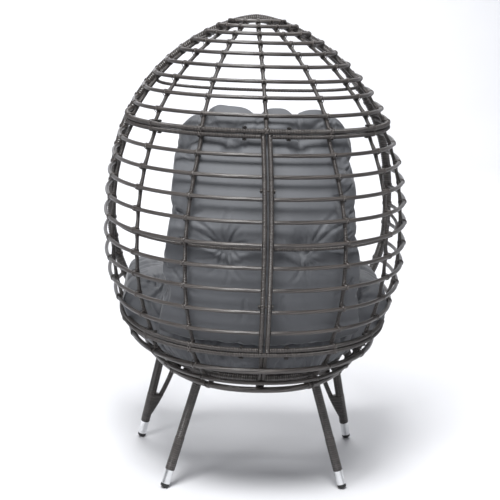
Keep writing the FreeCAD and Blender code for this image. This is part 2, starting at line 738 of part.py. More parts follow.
def bolt_through(nodes, names, start, along, grip):
    """Bolt together the named tubes, which get a hole each."""
    hole = cylinder(start - along * BOLT_HEAD_HEIGHT, along, grip + 2 * BOLT_HEAD_HEIGHT, BOLT_HOLE)
    for name in names:
        nodes[name] = [solid.cut(hole) for solid in nodes[name]]
    return make_bolt(start, along, grip)


def add_bolts(nodes):
    up = Vector(0, 0, 1)
    joints = (("dome_bolts", TOP_RAIL_Z, RAIL, DOME_HOOP_Z, DOME_HOOP, "_top_rail", "dome_hoop"),
              ("bowl_bolts", BOWL_HOOP_Z, RAIL, BOTTOM_RAIL_Z, RAIL, "_bottom_rail", "bowl_hoop"))
    for node, low_z, low_r, high_z, high_r, rail, hoop in joints:
        bolts = []
        for name, side in SIDES.items():
            for turn in HOOP_BOLT_TURNS:
                low = on_wall(low_z, side * turn, outside(RAIL)) - up * (low_r + GAP)
                grip = high_z + high_r + GAP - low.z
                bolts += bolt_through(nodes, (name + rail, hoop), low, up, grip)
        nodes[node] = bolts
    seam_bolts = []
    for z in SEAM_BOLT_Z:
        outer = SEAM_SPACING / 2 + SEAM_RAIL + GAP
        start = Vector(-outer, on_wall(z, 0.0, outside(RUNG)).y, z)
        names = ("left_seam_rail", "right_seam_rail")
        seam_bolts += bolt_through(nodes, names, start, Vector(1, 0, 0), 2 * outer)
    nodes["seam_bolts"] = seam_bolts


# Cushion: a back pad that leans on the shell and a seat pad with a wing on each side

def plan_y(level, x):
    """How far back the wall is at x."""
    share = min(1.0, x / half_width(level)) ** PLAN_POWER
    front = opening_y(level)
    side = front + SIDE_SHARE * (back_y(level) - front)
    return side + (back_y(level) - side) * (1 - share) ** (1 / PLAN_POWER)


def pad_form(z):
    """Half width and thickness of the back pad at a level, and the y of its back there in
    the middle and at its edge."""
    rise = (z - PAD_FOOT) / (PAD_TOP - PAD_FOOT)
    half = inward(PAD_SIDE_CLEAR) * (1 - PAD_SHOULDER * rise ** PAD_SHOULDER_POWER)
    thick = PAD_THICK * (1 - PAD_TOP_THIN * rise ** PAD_TOP_POWER)
    level = level_in_wall(z)
    middle = back_y(level) - PAD_CLEAR
    return half, thick, middle, plan_y(level, half) - 1.15 * PAD_CLEAR


def pad_section(z):
    half, thick, middle, edge = pad_form(z)
    front = edge - 0.8 * thick
    corner = 0.3 * thick
    left_back, right_back = Vector(half, edge, z), Vector(-half, edge, z)
    left_front, right_front = Vector(half, front, z), Vector(-half, front, z)
    return Part.Wire([
        Part.Arc(left_back, Vector(0, middle, z), right_back).toShape(),
        Part.Arc(right_back, Vector(-half - corner, (edge + front) / 2, z), right_front).toShape(),
        Part.Arc(right_front, Vector(0, middle - thick, z), left_front).toShape(),
        Part.Arc(left_front, Vector(half + corner, (edge + front) / 2, z), left_back).toShape()])


def seat_under(x):
    out = max(0.0, (abs(x) - SEAT_FLAT) / (SEAT_TIP - SEAT_FLAT))
    curve = (1 - out ** SEAT_UNDER_POWER) ** (1 / SEAT_UNDER_POWER)
    return SEAT_RING_Z + SEAT_RING - 2 + SEAT_UNDER_RISE * (1 - curve)


def seat_top(x):
    climb = min(1.0, max(0.0, (abs(x) - WING_FROM) / (WING_TO - WING_FROM)))
    past = max(0.0, abs(x) - WING_TO) / (SEAT_TIP - WING_TO)
    return SEAT_TOP_Z + WING_RISE * climb ** 2 * (3 - 2 * climb) - WING_ROUND * (1 - sqrt(1 - past ** 2))


def seat_section(x):
    low, high = seat_under(x), seat_top(x)
    front = OPENING_Y - SEAT_FRONT_AHEAD + WING_SETBACK * (x / SEAT_TIP) ** 2
    back = plan_y(low, abs(x)) - SEAT_BACK_CLEAR
    middle = (low + high) / 2
    shoulder = high - SEAT_CROWN
    points = [Vector(x, front, low), Vector(x, back, low),
              Vector(x, back - SEAT_BULGE, shoulder), Vector(x, front + SEAT_BULGE, shoulder)]
    return Part.Wire([
        Part.LineSegment(points[0], points[1]).toShape(),
        Part.Arc(points[1], Vector(x, back + SEAT_BULGE, middle), points[2]).toShape(),
        Part.Arc(points[2], Vector(x, (front + back) / 2, high), points[3]).toShape(),
        Part.Arc(points[3], Vector(x, front - SEAT_BULGE, middle), points[0]).toShape()])


def make_cushion():
    places = [share * (SEAT_TIP - SEAT_END) for share in SEAT_CUTS]
    places = [-x for x in reversed(places)] + [0.0] + places
    seat = Part.makeLoft([seat_section(x) for x in places], True)
    size = 2 * SEAT_TIP
    rest = SEAT_RING_Z + SEAT_RING + GAP
    seat = seat.cut(Part.makeBox(2 * size, 2 * size, size, Vector(-size, -size, rest - size)))
    back = Part.makeLoft([pad_section(PAD_FOOT + share * (PAD_TOP - PAD_FOOT))
                          for share in PAD_CUTS], True)
    lifted = seat.copy()
    lifted.translate(Vector(0, 0, GAP))
    back = back.cut(lifted)
    for side in SIDES.values():
        x = side * TUFT_X
        for z in TUFT_ROWS:
            half, thick, middle, edge = pad_form(z)
            y = middle + (edge - middle) * (TUFT_X / half) ** 2
            for surface, way in ((y, 1), (y - 0.95 * thick, -1)):
                ball = Part.makeSphere(TUFT_BALL, Vector(x, surface + way * (TUFT_BALL - TUFT_DEPTH), z))
                back = back.cut(ball)
        for far in SEAT_TUFTS_BEHIND:
            centre = Vector(x, behind(far), seat_top(x) + TUFT_BALL - TUFT_DEPTH)
            ball = Part.makeSphere(TUFT_BALL, centre)
            seat = seat.cut(ball)
    return {"back_pad": [back], "seat_pad": [seat]}


def main():
    os.makedirs("parts", exist_ok=True)
    nodes = {}
    nodes.update(make_dome())
    for name, side in SIDES.items():
        nodes.update(make_panel(name, side))
    nodes.update(make_bowl())
    inserts = []
    for place in FOOT_INSET:
        for name, side in SIDES.items():
            leg, insert = make_leg(place, name, side)
            nodes.update(leg)
            inserts.append(insert)
    nodes["leg_inserts"] = inserts
    add_bolts(nodes)
    nodes.update(make_cushion())
    for name, solids in nodes.items():
        shape = solids[0] if len(solids) == 1 else Part.makeCompound(solids)
        shape.exportStep("parts/" + name + ".step")
        print(name, len(shape.Solids), shape.isValid(), round(shape.Volume / 1000))


main()
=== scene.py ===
"""Looks of the egg chair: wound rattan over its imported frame, and a tufted cushion.

Metres, in the frame's own coordinates: the floor is z = 0 and the opening faces -Y.
The wall that every tube follows has the same formula as the solid model's.
"""

import math

import bpy
import numpy as np
from mathutils import Matrix, Vector


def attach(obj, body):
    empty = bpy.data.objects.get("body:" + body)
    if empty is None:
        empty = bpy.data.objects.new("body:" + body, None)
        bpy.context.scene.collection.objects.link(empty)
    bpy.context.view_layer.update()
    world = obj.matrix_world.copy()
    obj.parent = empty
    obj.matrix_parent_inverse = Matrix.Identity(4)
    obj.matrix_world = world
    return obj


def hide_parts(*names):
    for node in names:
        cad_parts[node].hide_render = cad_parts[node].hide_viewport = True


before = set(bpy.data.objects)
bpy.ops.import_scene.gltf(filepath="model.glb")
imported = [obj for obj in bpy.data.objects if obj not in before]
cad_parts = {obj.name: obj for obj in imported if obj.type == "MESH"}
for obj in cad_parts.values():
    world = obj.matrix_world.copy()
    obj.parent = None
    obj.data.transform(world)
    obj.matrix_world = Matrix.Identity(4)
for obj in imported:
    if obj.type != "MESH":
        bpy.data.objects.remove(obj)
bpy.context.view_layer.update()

# Form of the wall
WIDEST_Z = 0.760
HALF_WIDTH = 0.467
SHELL_TOP = 1.408
WIDTH_UP_POWER = 2.43
WIDTH_ACROSS_POWER = 1.49
WIDTH_FOOT = 0.290
WIDTH_FOOT_POWER = 2.3
DEEPEST_Z = 0.700
BACK_REACH = 0.702
BACK_TOP_POWER = 2.19
BACK_FOOT = 0.270
BACK_FOOT_POWER = 3.5
PLAN_POWER = 2.3
OPENING_Y = 0.0245 - BACK_REACH / 2
OPENING_LEAN = 0.045
NARROW_FROM_Z = 0.700
NARROWING = 0.09
SIDE_SHARE = 0.2
SHOULDER_Z = (1.040, 1.130)
SHOULDER_TURNS = (0.65, 1.0)
SHOULDER_DRAW = 0.011
ARCH_UP_POWER = 2.52
ARCH_ACROSS_POWER = 1.56

# Levels
TOP_RAIL_Z = 1.086
BOTTOM_RAIL_Z = 0.494
FIRST_RUNG_Z = 0.5468
LAST_RUNG_Z = 1.037
RUNG_RISE = 0.017
PANEL_RUNGS = 9
DOME_RUNGS = 9
DOME_FIRST_ANGLE = 36.1
DOME_LAST_ANGLE = 77.6
BOWL_UPPER_RUNG_Z = 0.428
BOWL_LOWER_RUNG_Z = 0.381
BASE_HOOP_Z = 0.350
BASE_RISE_TURNS = (0.25, 0.75)
SEAT_RING_Z = 0.382
DOME_INNER_HOOP_Z = 1.204
PANEL_INNER_HOOP_Z = 0.785

# Radii over the winding
RUNG = 0.006
RIB = 0.0055
RAIL = 0.007
DOME_HOOP = 0.0075
SEAM_RAIL = 0.007
FRONT_TUBE = 0.014
BOWL_UPPER_RUNG = 0.008
BASE_HOOP = 0.009
SEAT_RING = 0.012
INNER_HOOP = 0.005
CROSS_BAR = 0.009

GAP = 0.0003
SEAM_SPACING = 0.019
FRONT_INSET = 0.009
OUTER_DRAW = 0.015
RIB_SHARES = (0.50, 0.80, 0.965)
DOME_SHARES = (0.46, 0.795, 0.975)
SPLIT_Z_TOP = TOP_RAIL_Z + RAIL + GAP / 2
SPLIT_Z_LOW = BOTTOM_RAIL_Z - RAIL - GAP / 2
DOME_HOOP_Z = TOP_RAIL_Z + RAIL + GAP + DOME_HOOP
BOWL_HOOP_Z = BOTTOM_RAIL_Z - 2 * RAIL - GAP
BASE_SIDE_Z = SEAT_RING_Z - SEAT_RING - GAP - CROSS_BAR
JOINT_MARGIN = RAIL
CORNER_Z = 0.400
BAR_Z = 0.330
BAR_HALF = 0.169
BAR_SAG = 0.004

# Legs
FOOT_DOME = 0.016
FOOT_RADIUS = 0.0135
FOOT_RIM = 0.0076
FOOT_FLAT = 0.0005
FEET = {"front": (0.345, -0.277), "rear": (0.270, 0.176)}
LEG_TOP_X = {"front": 0.2758, "rear": 0.1719}
CROSS_BAR_Y = {"front": -0.2347, "middle": 0.046, "rear": 0.1377}
LEG_TUBE = 0.014
SLEEVE_LENGTH = 0.044
BRACE = 0.008
BRACE_START = 0.052
BRACE_BOW = 0.2
FRONT_BRACE_INWARD = 0.058
REAR_BRACE_INWARD = 0.006
WEB_TOP = 0.150
WEB_DIP = 0.009
WEB_DIP_LENGTH = 0.03     # below the web's top, where it starts to dip
WEB_SKIN = 0.0008         # how far its winding stands out from the leg's and the brace's
LEG_CUT_Z = BASE_SIDE_Z - CROSS_BAR - GAP
SIDES = {"left": 1, "right": -1}

# Winding
RING_STEP = 0.0065        # along a tube, between the rings of its mesh
WIND_RINGS = 5            # rings of the mesh in one strand's width
CLOSE = (0.0046, 0.0011)  # pitch and height of the winding of rails, hoops and ribs
WIDE = (0.0066, 0.0014)   # and of the legs and the front tube
LASH = 0.0011             # half thickness of a strand that lashes a crossing
LASH_WIDTH = 2.0          # its width, as a multiple of its thickness
LASH_REACH = 1.35         # half a lashing's length, as a multiple of the rung's radius
LASH_OVER = 0.9           # from the tubes to its middle, as a multiple of half its thickness
LASH_SQUARE = 0.75        # power that squares its loop
LASH_LEAN = 0.75          # how far it runs along the rung for each step up
LASH_ROOM = 0.012         # none is tied nearer to the front tube than this
RIB_WAVE = 0.0016         # how far a rib bows inward between two rungs
RIB_WINDING = 0.0007      # how much its winding adds
RIB_SWELL = 0.0006        # how much thicker it is at each crossing
RIB_END = 0.002           # how far its ends stand in from the hoops that it joins
ARCH_REACH = 0.3          # from the shell's top down, where a rib may end at the arch
STRAND_POWER = 0.8        # rounds the back of a wound strand
STRAND_SINK = 0.85        # share of a strand's height that lies under the tube's radius
STRIP_DIP = 0.0011        # how far the laid-on strand rises and dips
STRIP_PITCH = 0.0115      # along the tube, from one rise to the next
STRIP_STEP = 0.0014       # between the rings of its mesh
STRIP_SINK = 0.0007       # how far its middle lies under the tube's radius
STRIP_HALF, STRIP_FLAT = 0.0009, 1.9      # half its thickness, and its width as a multiple
BAND_WIDTH = 0.013        # of the winding where a rung ends at the front tube
BAND_RISE, BAND_SINK = 0.0024, 0.0002     # how far it stands out, and its ends go in

# Sides of the tubes' meshes
SIDES_FRONT, SIDES_RING, SIDES_BRACE, SIDES_THIN = 20, 16, 14, 9


# The wall, for arrays of levels and turns

def smooth(value, low, high):
    """0 up to low, 1 from high, and smooth in between."""
    share = np.clip((value - low) / (high - low), 0, 1)
    return share ** 2 * (3 - 2 * share)


def level_in_wall(z):
    above, top_level = DOME_HOOP_Z + JOINT_MARGIN, TOP_RAIL_Z - JOINT_MARGIN
    below, low_level = BOWL_HOOP_Z - JOINT_MARGIN, BOTTOM_RAIL_Z + JOINT_MARGIN
    up = SHELL_TOP - (SHELL_TOP - z) * (SHELL_TOP - top_level) / (SHELL_TOP - above)
    down = BACK_FOOT + (z - BACK_FOOT) * (low_level - BACK_FOOT) / (below - BACK_FOOT)
    return np.where(z >= above, up, np.where(z <= below, down, np.clip(z, low_level, top_level)))


def half_width(level):
    up = np.clip((level - WIDEST_Z) / (SHELL_TOP - WIDEST_Z), 0, 1)
    down = np.clip((WIDEST_Z - level) / (WIDEST_Z - WIDTH_FOOT), 0, 1)
    above = (1 - up ** WIDTH_UP_POWER) ** (1 / WIDTH_ACROSS_POWER)
    below = (1 - down ** WIDTH_FOOT_POWER) ** (1 / WIDTH_FOOT_POWER)
    return HALF_WIDTH * np.where(level > WIDEST_Z, above, below)


def back_y(level):
    up = np.clip((level - DEEPEST_Z) / (SHELL_TOP - DEEPEST_Z), 0, 1)
    down = np.clip((DEEPEST_Z - level) / (DEEPEST_Z - BACK_FOOT), 0, 1)
    above = 1 - up ** BACK_TOP_POWER
    below = (1 - down ** BACK_FOOT_POWER) ** (1 / BACK_FOOT_POWER)
    return OPENING_Y + BACK_REACH * np.where(level > DEEPEST_Z, above, below)


def opening_y(z):
    return OPENING_Y - OPENING_LEAN * (SHELL_TOP - z)


def narrowing(z):
    return NARROWING * np.maximum(0.0, NARROW_FROM_Z - z)


def wall(z, turn, draw=OUTER_DRAW):
    """Points of the wall: turn 0 is the back seam, 1 where the side runs forward, 2 the opening."""
    z, turn = np.broadcast_arrays(np.asarray(z, float), np.asarray(turn, float))
    level = level_in_wall(z)
    wide, back, front = half_width(level), back_y(level), opening_y(z)
    side = front + SIDE_SHARE * (back - front)
    size = np.abs(turn)
    bend = np.clip(size, 0, 1) * math.pi / 2
    past = np.clip(size - 1, 0, None)
    x = wide * np.sin(bend) ** (2 / PLAN_POWER) - (draw + narrowing(z)) * past ** 2
    x = x - SHOULDER_DRAW * wide / HALF_WIDTH * smooth(z, *SHOULDER_Z) * smooth(size, *SHOULDER_TURNS)
    rear = side + (back - side) * np.clip(np.cos(bend), 0, 1) ** (2 / PLAN_POWER)
    y = np.where(size <= 1, rear, side + (front - side) * past)
    return np.stack([np.where(turn >= 0, x, -x), y, z], -1)


def unit(v):
    return v / np.maximum(np.linalg.norm(v, axis=-1, keepdims=True), 1e-12)


def wall_normal(z, turn, draw=OUTER_DRAW):
    step = 1e-3
    turn = np.asarray(turn, float)
    place = np.where(np.abs(turn) < step, 0.0, turn)
    along = wall(z, place + step, draw) - wall(z, place - step, draw)
    up = wall(np.asarray(z) + 1e-5, turn, draw) - wall(np.asarray(z) - 1e-5, turn, draw)
    return unit(np.cross(up, along))


def on_wall(z, turn, offset, draw=OUTER_DRAW):
    return wall(z, turn, draw) + wall_normal(z, turn, draw) * np.asarray(offset)[..., None]


def at_height(z, turn, offset, draw=OUTER_DRAW):
    level = np.broadcast_to(np.asarray(z, float), np.shape(turn)).copy()
    for _ in range(4):
        level = z - wall_normal(level, turn, draw)[..., 2] * offset
    return on_wall(level, turn, np.broadcast_to(offset, np.shape(level)), draw)


def rib_turn(number, z):
    rise = smooth(z, WIDEST_Z, DOME_HOOP_Z)
    share = RIB_SHARES[number] + (DOME_SHARES[number] - RIB_SHARES[number]) * rise
    return np.arcsin(share ** (PLAN_POWER / 2)) * 2 / math.pi


def outside(radius):
    return radius + GAP / 2


def inside_ribs(radius):
    return -(2 * RIB + radius + 1.5 * GAP)


# Lines of points

def resampled(points, step=RING_STEP):
    """The same line with its points evenly spaced, about step apart."""
    lengths = np.linalg.norm(np.diff(points, axis=0), axis=1)
    far = np.concatenate([[0], np.cumsum(lengths)])
    count = max(2, int(round(far[-1] / step)) + 1)
    even = np.linspace(0, far[-1], count)
    return np.stack([np.interp(even, far, points[:, k]) for k in range(3)], -1)


def hermite(points, ways, count=24):
    """A smooth line through knots that leaves each in the given direction."""
    line = []
    share = np.linspace(0, 1, count)[:, None]
    for a, b, m, n in zip(points, points[1:], ways, ways[1:]):
        pull = np.linalg.norm(np.subtract(b, a))
        start = (2 * share ** 3 - 3 * share ** 2 + 1) * a
        leave = (share ** 3 - 2 * share ** 2 + share) * (np.asarray(m) * pull)
        end = (3 * share ** 2 - 2 * share ** 3) * b
        arrive = (share ** 3 - share ** 2) * (np.asarray(n) * pull)
        line.append((start + leave + end + arrive)[(1 if line else 0):])
    return np.concatenate(line)


def far_from(points, line):
    """Least distance of each point from a dense line."""
    return np.min(np.linalg.norm(points[:, None] - line[None], axis=2), axis=1)


def arch_line(first_z=SPLIT_Z_TOP):
    share = (first_z - WIDEST_Z) / (SHELL_TOP - FRONT_INSET - WIDEST_Z)
    start = math.asin(share ** (ARCH_UP_POWER / 2))
    angle = np.linspace(start, math.pi - start, 500)
    z = WIDEST_Z + (SHELL_TOP - FRONT_INSET - WIDEST_Z) * np.sin(angle) ** (2 / ARCH_UP_POWER)
    lean = np.cos(angle)
    x = np.sign(lean) * np.abs(lean) ** (2 / ARCH_ACROSS_POWER) * (HALF_WIDTH - FRONT_INSET)
    return np.stack([x, opening_y(z), z], -1)


def side_line(side, first=SPLIT_Z_LOW, last=SPLIT_Z_TOP):
    z = np.linspace(first, last, 300)
    share = np.clip((z - WIDEST_Z) / (SHELL_TOP - FRONT_INSET - WIDEST_Z), 0, 1)
    up = np.sqrt(1 - share ** ARCH_UP_POWER) ** (2 / ARCH_ACROSS_POWER) * (HALF_WIDTH - FRONT_INSET)
    x = np.where(z > WIDEST_Z, up, half_width(z) - FRONT_INSET - narrowing(z))
    return np.stack([side * x, opening_y(z), z], -1)


def floor_bar_line():
    left = side_line(1, CORNER_Z, SPLIT_Z_LOW)[::-1]
    corner = [left[-1], (BAR_HALF, opening_y(BAR_Z), BAR_Z), (0, opening_y(BAR_Z - BAR_SAG), BAR_Z - BAR_SAG)]
    down = unit(left[-1] - left[-2])
    ways = [down, unit(np.array([-1, 0, -2 * BAR_SAG / BAR_HALF])), np.array([-1.0, 0, 0])]
    half = np.concatenate([left[:-1], hermite([np.array(p) for p in corner], ways, 60)])
    return np.concatenate([half, half[-2::-1] * (-1, 1, 1)])


FRONT_OVERLAP = 0.012     # how far each line of the front tube runs on past its end
FRONT_LINES = {"arch": arch_line(SPLIT_Z_TOP - FRONT_OVERLAP), "floor": floor_bar_line()}
for hand in SIDES.values():
    FRONT_LINES[hand] = side_line(hand, SPLIT_Z_LOW - FRONT_OVERLAP, SPLIT_Z_TOP + FRONT_OVERLAP)


def cut_at(points, turns, line):
    """The points up to where they come to the front tube."""
    near = (np.abs(turns) > 1) & (far_from(points, line) < FRONT_TUBE + GAP)
    return points[:np.argmax(near)] if near.any() else points


def base_level(turn):
    return BASE_HOOP_Z + (BASE_SIDE_Z - BASE_HOOP_Z) * smooth(np.abs(turn), *BASE_RISE_TURNS)


def whole_hoop(z, offset, draw, front):
    turns = np.linspace(0, 2, 700)
    level = base_level(turns) if z == BASE_HOOP_Z else z
    half = cut_at(at_height(level, turns, offset, draw), turns, FRONT_LINES[front])
    return np.concatenate([half[:0:-1] * (-1, 1, 1), half])


def half_hoop(z, offset, draw, side, reach):
    start = math.asin(float(reach / half_width(level_in_wall(np.array(z)))) ** (PLAN_POWER / 2)) * 2 / math.pi
    turns = np.linspace(start, 2, 600)
    return cut_at(at_height(z, turns, offset, draw), turns, FRONT_LINES[1]) * (side, 1, 1)


def panel_levels():
    share = np.linspace(0, 1, PANEL_RUNGS)
    return FIRST_RUNG_Z + (LAST_RUNG_Z - FIRST_RUNG_Z) * share + RUNG_RISE * share * np.sin(np.pi * share)


def dome_levels():
    angle = np.radians(np.linspace(DOME_FIRST_ANGLE, DOME_LAST_ANGLE, DOME_RUNGS))
    return WIDEST_Z + (SHELL_TOP - WIDEST_Z) * np.sin(angle)


# Meshes: each run is a tube of its own round a line of points

def strand_height(turns):
    """Height of wound strands, as a share of a whole strand's: the sine of half a turn for
    each strand, to a power, less the share that is sunk."""
    return np.abs(np.sin(math.pi * turns)) ** STRAND_POWER - STRAND_SINK


def run(points, radius, flat=1.0, up=None, closed=False, sides=12, cut=None, step=RING_STEP,
        wind=None):
    """A tube to be. radius may be one value a point; flat widens it across its up vectors;
    wind is the pitch and height of strands wound round it."""
    if wind and np.ndim(radius) == 0:
        points = resampled(points, wind[0] / WIND_RINGS)
    elif step and not closed and np.ndim(radius) == 0 and up is None:
        points = resampled(points, step)
    return dict(points=np.asarray(points, float), radius=radius, flat=flat, up=up,
                closed=closed, sides=sides, cut=cut, wind=wind)


def frames_along(points, closed, up):
    """Unit tangents and two unit normals, the first as near to up as it can be."""
    if closed:
        ahead = np.roll(points, -1, 0) - np.roll(points, 1, 0)
    else:
        ahead = np.gradient(points, axis=0)
    tangent = unit(ahead)
    if up is None:
        first = np.array([0.0, 0.0, 1.0]) if abs(tangent[0][2]) < 0.9 else np.array([0.0, 1.0, 0.0])
        normals = [unit(first - tangent[0] * first.dot(tangent[0]))]
        for k in range(1, len(points)):
            last = normals[-1]
            normals.append(unit(last - tangent[k] * last.dot(tangent[k])))
        normal = np.array(normals)
    else:
        normal = unit(up - tangent * np.sum(up * tangent, axis=1, keepdims=True))
    return tangent, normal, np.cross(tangent, normal)


def new_object(name, vertices, quads, caps=(), uvs=None):
    """A smooth-shaded mesh of four-sided faces, and of caps with more sides."""
    mesh = bpy.data.meshes.new(name)
    corners = np.concatenate([np.ravel(quads)] + [np.ravel(c) for c in caps]).astype(np.int32)
    sizes = np.concatenate([np.full(len(quads), 4), [len(c) for c in caps]]).astype(np.int32)
    mesh.vertices.add(len(vertices))
    mesh.vertices.foreach_set("co", np.asarray(vertices, np.float32).ravel())
    mesh.loops.add(len(corners))
    mesh.loops.foreach_set("vertex_index", corners)
    mesh.polygons.add(len(sizes))
    mesh.polygons.foreach_set("loop_start", (np.cumsum(sizes) - sizes).astype(np.int32))
    mesh.update(calc_edges=True)
    if uvs is not None:
        layer = mesh.uv_layers.new(name="UVMap")
        layer.data.foreach_set("uv", np.asarray(uvs, np.float32).ravel())
    mesh.shade_smooth()
    mesh.set_sharp_from_angle(angle=math.radians(75))
    made = bpy.data.objects.new(name, mesh)
    bpy.context.scene.collection.objects.link(made)
    return made


def ring_faces(rings, sides, first, closed, far):
    """Quads and their texture places between neighbouring rings of a skin."""
    k = np.arange(rings if closed else rings - 1)[:, None]
    j = np.arange(sides)[None, :]
    here, ahead, around = first + k * sides, first + (k + 1) % rings * sides, (j + 1) % sides
    quads = np.stack([here + j, here + around, ahead + around, ahead + j], -1).reshape(-1, 4)
    start = np.broadcast_to(far[k], (len(k), sides))
    stop = np.broadcast_to(far[k + 1] if not closed else (far[k] + far[1]), (len(k), sides))
    low = np.broadcast_to(j / sides, (len(k), sides))
    high = low + 1 / sides
    uvs = np.stack([start, low, start, high, stop, high, stop, low], -1).reshape(-1, 2)
    return quads, uvs


def tubes(name, runs, material, *nodes):
    """One piece made of tubes: a point at angle a round ring k is the line's point plus
    radius times (cos a times the normal plus flat times sin a times the binormal)."""
    vertices, quads, caps, uvs, cap_uvs, first = [], [], [], [], [], 0
    for r in runs:
        points, sides = r["points"], r["sides"]
        tangent, normal, side = frames_along(points, r["closed"], r["up"])
        far = np.concatenate([[0], np.cumsum(np.linalg.norm(np.diff(points, axis=0), axis=1))])
        angle = np.arange(sides) * 2 * math.pi / sides
        radius = np.broadcast_to(r["radius"], len(points))[:, None] + 0 * angle
        if r["wind"]:
            turns = far[:, None] / r["wind"][0] + angle / (2 * math.pi)
            radius = radius + r["wind"][1] * strand_height(turns)
        ring = (np.cos(angle)[None, :, None] * normal[:, None]
                + r["flat"] * np.sin(angle)[None, :, None] * side[:, None])
        shell = points[:, None] + radius[..., None] * ring
        if r["cut"] is not None:
            past = (r["cut"] - shell[-1, :, 2]) / tangent[-1][2]
            shell[-1] += past[:, None] * tangent[-1]
        vertices.append(shell.reshape(-1, 3))
        rings = len(points)
        made, places = ring_faces(rings, sides, first, r["closed"], far)
        quads.append(made)
        uvs.append(places)
        if not r["closed"]:
            for k, order in ((0, -1), (rings - 1, 1)):
                caps.append([first + k * sides + j for j in range(sides)][::order])
                cap_uvs += [(far[k], 0.5)] * sides
        first += rings * sides
    uvs = np.concatenate(uvs + ([cap_uvs] if cap_uvs else []))
    made = new_object(name, np.concatenate(vertices), np.concatenate(quads), caps, uvs)
    made.data.materials.append(material)
    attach(made, "frame")
    if nodes:
        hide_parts(*nodes)
    return made


def rib_run(line_at, first, last, crossings, radius=RIB):
    """A rib that bows inward between the rungs and swells where it meets them."""
    dense = line_at(np.linspace(first, last, 200), np.zeros(200))
    length = np.linalg.norm(np.diff(dense, axis=0), axis=1)
    even = np.linspace(0, length.sum(), int(length.sum() / CLOSE[0] * WIND_RINGS))
    z = np.interp(even, np.concatenate([[0], np.cumsum(length)]), np.linspace(first, last, 200))
    marks = np.sort(np.asarray(crossings))
    near = np.clip(np.searchsorted(marks, z), 1, len(marks) - 1)
    low, high = marks[near - 1], marks[near]
    phase = np.clip((z - low) / np.maximum(high - low, 1e-6), 0, 1)
    bow = np.sin(np.pi * phase) ** 2
    points = line_at(z, -RIB_WAVE * bow)
    return run(points, radius + RIB_WINDING + RIB_SWELL * (1 - 2 * bow), sides=SIDES_THIN, wind=CLOSE)


def lash_runs(centre, normal, along, up, outer, inner):
    """Two crossed strands round a rung and the rib behind it. Each is a rounded loop in the
    plane of the outward normal and a diagonal: a point at angle a is the centre plus the
    half sizes times the cosine and sine of a, each to the power LASH_SQUARE."""
    made = []
    reach = outer * LASH_REACH + 1.6 * LASH
    high, low = outer + LASH * LASH_OVER, -(outer + GAP + 2 * inner + LASH * LASH_OVER)
    angle = np.linspace(0, 2 * math.pi, 18, endpoint=False)
    square = lambda v: np.sign(v) * np.abs(v) ** LASH_SQUARE
    for lean in (1, -1):
        diagonal = unit(along * lean * LASH_LEAN + up)
        flat = square(np.cos(angle))[:, None] * diagonal * reach
        deep = (square(np.sin(angle)) * (high - low) / 2 + (high + low) / 2)[:, None] * normal
        points = centre + flat + deep
        outward = flat / reach + normal * square(np.sin(angle))[:, None]
        made.append(run(points, LASH, LASH_WIDTH, outward, True, 6))
    return made


def crossing(z, turn, outer, inner=RIB):
    """The lashing of the rung of radius outer at level z to the rib at that turn."""
    turn = np.array([turn])
    centre = at_height(z, turn, outside(outer))[0]
    normal = wall_normal(np.array([z]), turn)[0]
    along = unit(wall(z, turn + 1e-3)[0] - wall(z, turn - 1e-3)[0])
    return lash_runs(centre, normal, along, np.cross(normal, along), outer, inner)


def band(line, place, radius):
    """A short swelling of winding round a tube at the point of its line nearest to place."""
    near = int(np.argmin(np.linalg.norm(line - place, axis=1)))
    ahead = unit(line[min(near + 1, len(line) - 1)] - line[max(near - 1, 0)])
    share = np.linspace(-1, 1, 9)
    points = line[near] + ahead * share[:, None] * BAND_WIDTH / 2
    swell = BAND_RISE * np.sqrt(np.maximum(0, 1 - share ** 4)) - BAND_SINK
    return run(points, radius + swell, sides=SIDES_FRONT)


# Shader arithmetic

class Value:
    """A shader socket or a number, with arithmetic that adds Math nodes."""

    def __init__(self, tree, socket):
        self.tree, self.socket = tree, socket

    def math(self, operation, *others):
        node = self.tree.nodes.new("ShaderNodeMath")
        node.operation = operation
        for k, item in enumerate((self, *others)):
            put(self.tree, node.inputs[k], item)
        return Value(self.tree, node.outputs[0])

    def __add__(self, other):
        return self.math("ADD", other)

    def __sub__(self, other):
        return self.math("SUBTRACT", other)

    def __mul__(self, other):
        return self.math("MULTIPLY", other)

    def __truediv__(self, other):
        return self.math("DIVIDE", other)

    def __pow__(self, other):
        return self.math("POWER", other)

    def fract(self):
        return self.math("FRACT")

    def floor(self):
        return self.math("FLOOR")

    def sine(self):
        return self.math("SINE")

    def abs(self):
        return self.math("ABSOLUTE")

    def between(self, low, high):
        """0 below low, 1 above high, smooth in between."""
        node = self.tree.nodes.new("ShaderNodeMapRange")
        node.interpolation_type = "SMOOTHSTEP"
        put(self.tree, node.inputs["Value"], self)
        node.inputs["From Min"].default_value = low
        node.inputs["From Max"].default_value = high
        return Value(self.tree, node.outputs["Result"])


def put(tree, socket, item):
    if isinstance(item, Value):
        tree.links.new(item.socket, socket)
    else:
        socket.default_value = item


def split(tree, socket):
    node = tree.nodes.new("ShaderNodeSeparateXYZ")
    tree.links.new(socket, node.inputs[0])
    return [Value(tree, node.outputs[k]) for k in range(3)]


def noise(tree, vector, scale, detail=2.0):
    node = tree.nodes.new("ShaderNodeTexNoise")
    tree.links.new(vector, node.inputs["Vector"])
    node.inputs["Scale"].default_value = scale
    node.inputs["Detail"].default_value = detail
    return Value(tree, node.outputs["Fac"])


def joined(tree, x, y, z):
    node = tree.nodes.new("ShaderNodeCombineXYZ")
    for k, item in enumerate((x, y, z)):
        put(tree, node.inputs[k], item)
    return node.outputs[0]


def random_of(tree, value):
    node = tree.nodes.new("ShaderNodeTexWhiteNoise")
    node.noise_dimensions = "1D"
    put(tree, node.inputs["W"], value)
    return Value(tree, node.outputs["Value"])


